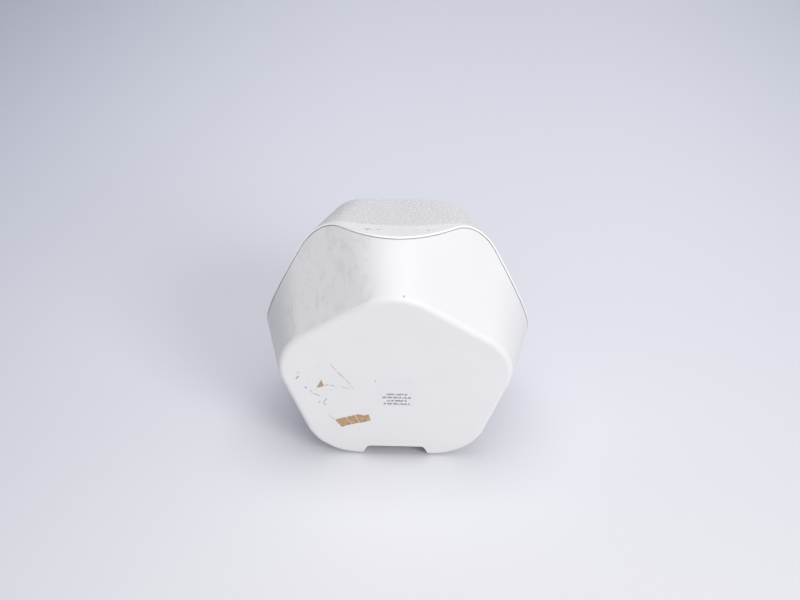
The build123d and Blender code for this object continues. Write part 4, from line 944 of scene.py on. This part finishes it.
def ring_outline(centre, radius, width, start=0, end=360):
    """Quads of a ring, or of part of one, as lists of four (x, y) corners."""
    steps = 40
    turns = [math.radians(start + (end - start) * index / steps) for index in range(steps + 1)]
    quads = []
    for here, there in zip(turns, turns[1:]):
        quads.append([
            (centre[0] + r * math.sin(t), centre[1] + r * math.cos(t))
            for r, t in ((radius - width, here), (radius, here), (radius, there), (radius - width, there))
        ])
    return quads


def bar(x, y, width, height):
    return [[(x - width / 2, y - height / 2), (x - width / 2, y + height / 2),
             (x + width / 2, y + height / 2), (x + width / 2, y - height / 2)]]


ink_finish = printing_ink()
pen, film_t = 0.32, 0.03          # in mm: width of every printed line, thickness of the ink
signs = {
    "power_button": ring_outline((0, 0), 1.25, pen, 35, 325) + bar(0, 0.95, pen, 1.1),
    "pairing_button": ring_outline((-0.75, 0), 1.05, pen) + ring_outline((0.75, 0), 1.05, pen),
    "volume_down_button": bar(0, 0, 2.4, pen),
    "volume_up_button": bar(0, 0, 2.4, pen) + bar(0, 0.76, pen, 1.1) + bar(0, -0.76, pen, 1.1),
}
for node_name, quads in signs.items():
    middle, towards_rear = cap_top(node_name)
    shape = bmesh.new()
    for quad in quads:
        flat = [middle + (across * x + towards_rear * y) * MM for x, y in quad]
        add_slab(shape, flat, [point + strip_out * film_t * MM for point in flat])
    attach(new_object(node_name + "_sign", shape, ink_finish), node_name)
print("signs printed on", list(signs))

# %% [markdown]
# Two soft rings let the woofer's cone move by 3 mm each way. The surround is a half roll of
# rubber, half a millimetre thick, glued to the cone's rim and to the basket. The spider is a
# disc of corrugated cloth from the voice coil to the basket's shelf, cupped by 2 mm so that it
# clears the basket's floor when the cone is pushed in. In the speaker their inner edges travel
# with the cone, their outer edges stay, and the rolls between them share out the movement;
# here each ring is made as one fixed shape at rest.
# %% Surround and spider
woofer_drop = 13.0
basket_front = 107.3
basket_shelf = 80.6


def soft_ring(name, line, thickness, finish, node_name):
    """A ring turned from a line of (radius, depth) points, and given this thickness."""
    front, back = [], []
    for index, here in enumerate(line):
        before, after = line[max(index - 1, 0)], line[min(index + 1, len(line) - 1)]
        along = Vector((after[0] - before[0], after[1] - before[1])).normalized()
        aside = Vector((-along.y, along.x)) * thickness / 2
        front.append(Vector(here) + aside)
        back.append(Vector(here) - aside)
    outline = front + list(reversed(back))
    sectors = 180
    shape = bmesh.new()
    made = []
    for sector in range(sectors):
        turn = math.tau * sector / sectors
        made.append([
            shape.verts.new(on_axis(r * math.sin(turn), r * math.cos(turn) - woofer_drop, depth))
            for r, depth in outline
        ])
    for here, there in zip(made, made[1:] + made[:1]):
        for index in range(len(outline)):
            after = (index + 1) % len(outline)
            shape.faces.new((here[index], here[after], there[after], there[index])).smooth = True
    ring = new_object(name, shape, finish)
    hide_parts(node_name)
    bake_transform(ring)


rubber_t = 0.5
glued_depth = basket_front + rubber_t / 2
basket_edge, cone_edge = (42.4, 41.6), (33.0, 32.3)
roll_middle, roll_half, roll_rise = 37.15, 3.3, 2.75
roll_steps = 24
surround_line = [(radius, glued_depth) for radius in basket_edge]
for step in range(roll_steps + 1):
    turn = math.pi * step / roll_steps
    surround_line.append((roll_middle + roll_half * math.cos(turn), glued_depth + roll_rise * math.sin(turn)))
surround_line += [(radius, glued_depth) for radius in cone_edge]
soft_ring("woofer_surround_roll", surround_line, rubber_t,
          finish=plastics["surround_rubber"], node_name="woofer_surround")

weave_t = 0.4
shelf_depth = basket_shelf + weave_t / 2
shelf_edge = (30.1, 27.5)
spider_outer_r, spider_inner_r, humps, hump_half, cup = 25.9, 12.8, 3, 0.9, 2.0
hump_steps = 48
spider_line = [(radius, shelf_depth) for radius in shelf_edge]
for step in range(hump_steps + 1):
    radius = spider_outer_r - (spider_outer_r - spider_inner_r) * step / hump_steps
    height = hump_half * (1 - math.cos(math.tau * humps * step / hump_steps)) + cup * step / hump_steps
    spider_line.append((radius, shelf_depth + height))
soft_ring("woofer_spider_cloth", spider_line, weave_t,
          finish=fibres["spider_cloth"], node_name="woofer_spider")
print("surround and spider made")

# %% [markdown]
# A wad of loose polyester fibre damps the air in the cabinet. It is a soft lump with rounded
# sides that bulge between its corners, and a surface of small tufts. It starts as a block cut
# into a fine grid, is pushed towards a rounder shape, and then gets two sizes of noise.
# %% Wadding
def make_wadding():
    half = Vector((25.0, 17.0, 12.0))
    centre = Vector((31.0, -14.5, 15.3))
    roundness, slack = 0.42, 0.97
    big_tufts, small_tufts = (2.4, 0.06), (9.0, 0.03)      # how many, and how high
    shape = bmesh.new()
    bmesh.ops.create_cube(shape, size=2.0)
    bmesh.ops.subdivide_edges(shape, edges=shape.edges, cuts=26, use_grid_fill=True)
    for vertex in shape.verts:
        place = vertex.co.copy()
        round_place = place.normalized() * max(abs(c) for c in place)
        soft = place.lerp(round_place, roundness)
        tuft = sum(noise.noise(place * count) * high for count, high in (big_tufts, small_tufts))
        soft *= slack + tuft
        soft = Vector([min(max(c, -1.0), 1.0) for c in soft])
        vertex.co = on_axis(*(centre + Vector(c * h for c, h in zip(soft, half))))
    for face in shape.faces:
        face.smooth = True
    pad = new_object("wadding_pad", shape, fibres["wadding_fibre"])
    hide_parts("damping_wadding")
    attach(pad, "casing")
    return pad


wadding = make_wadding()
print("wadding:", len(wadding.data.vertices), "points")
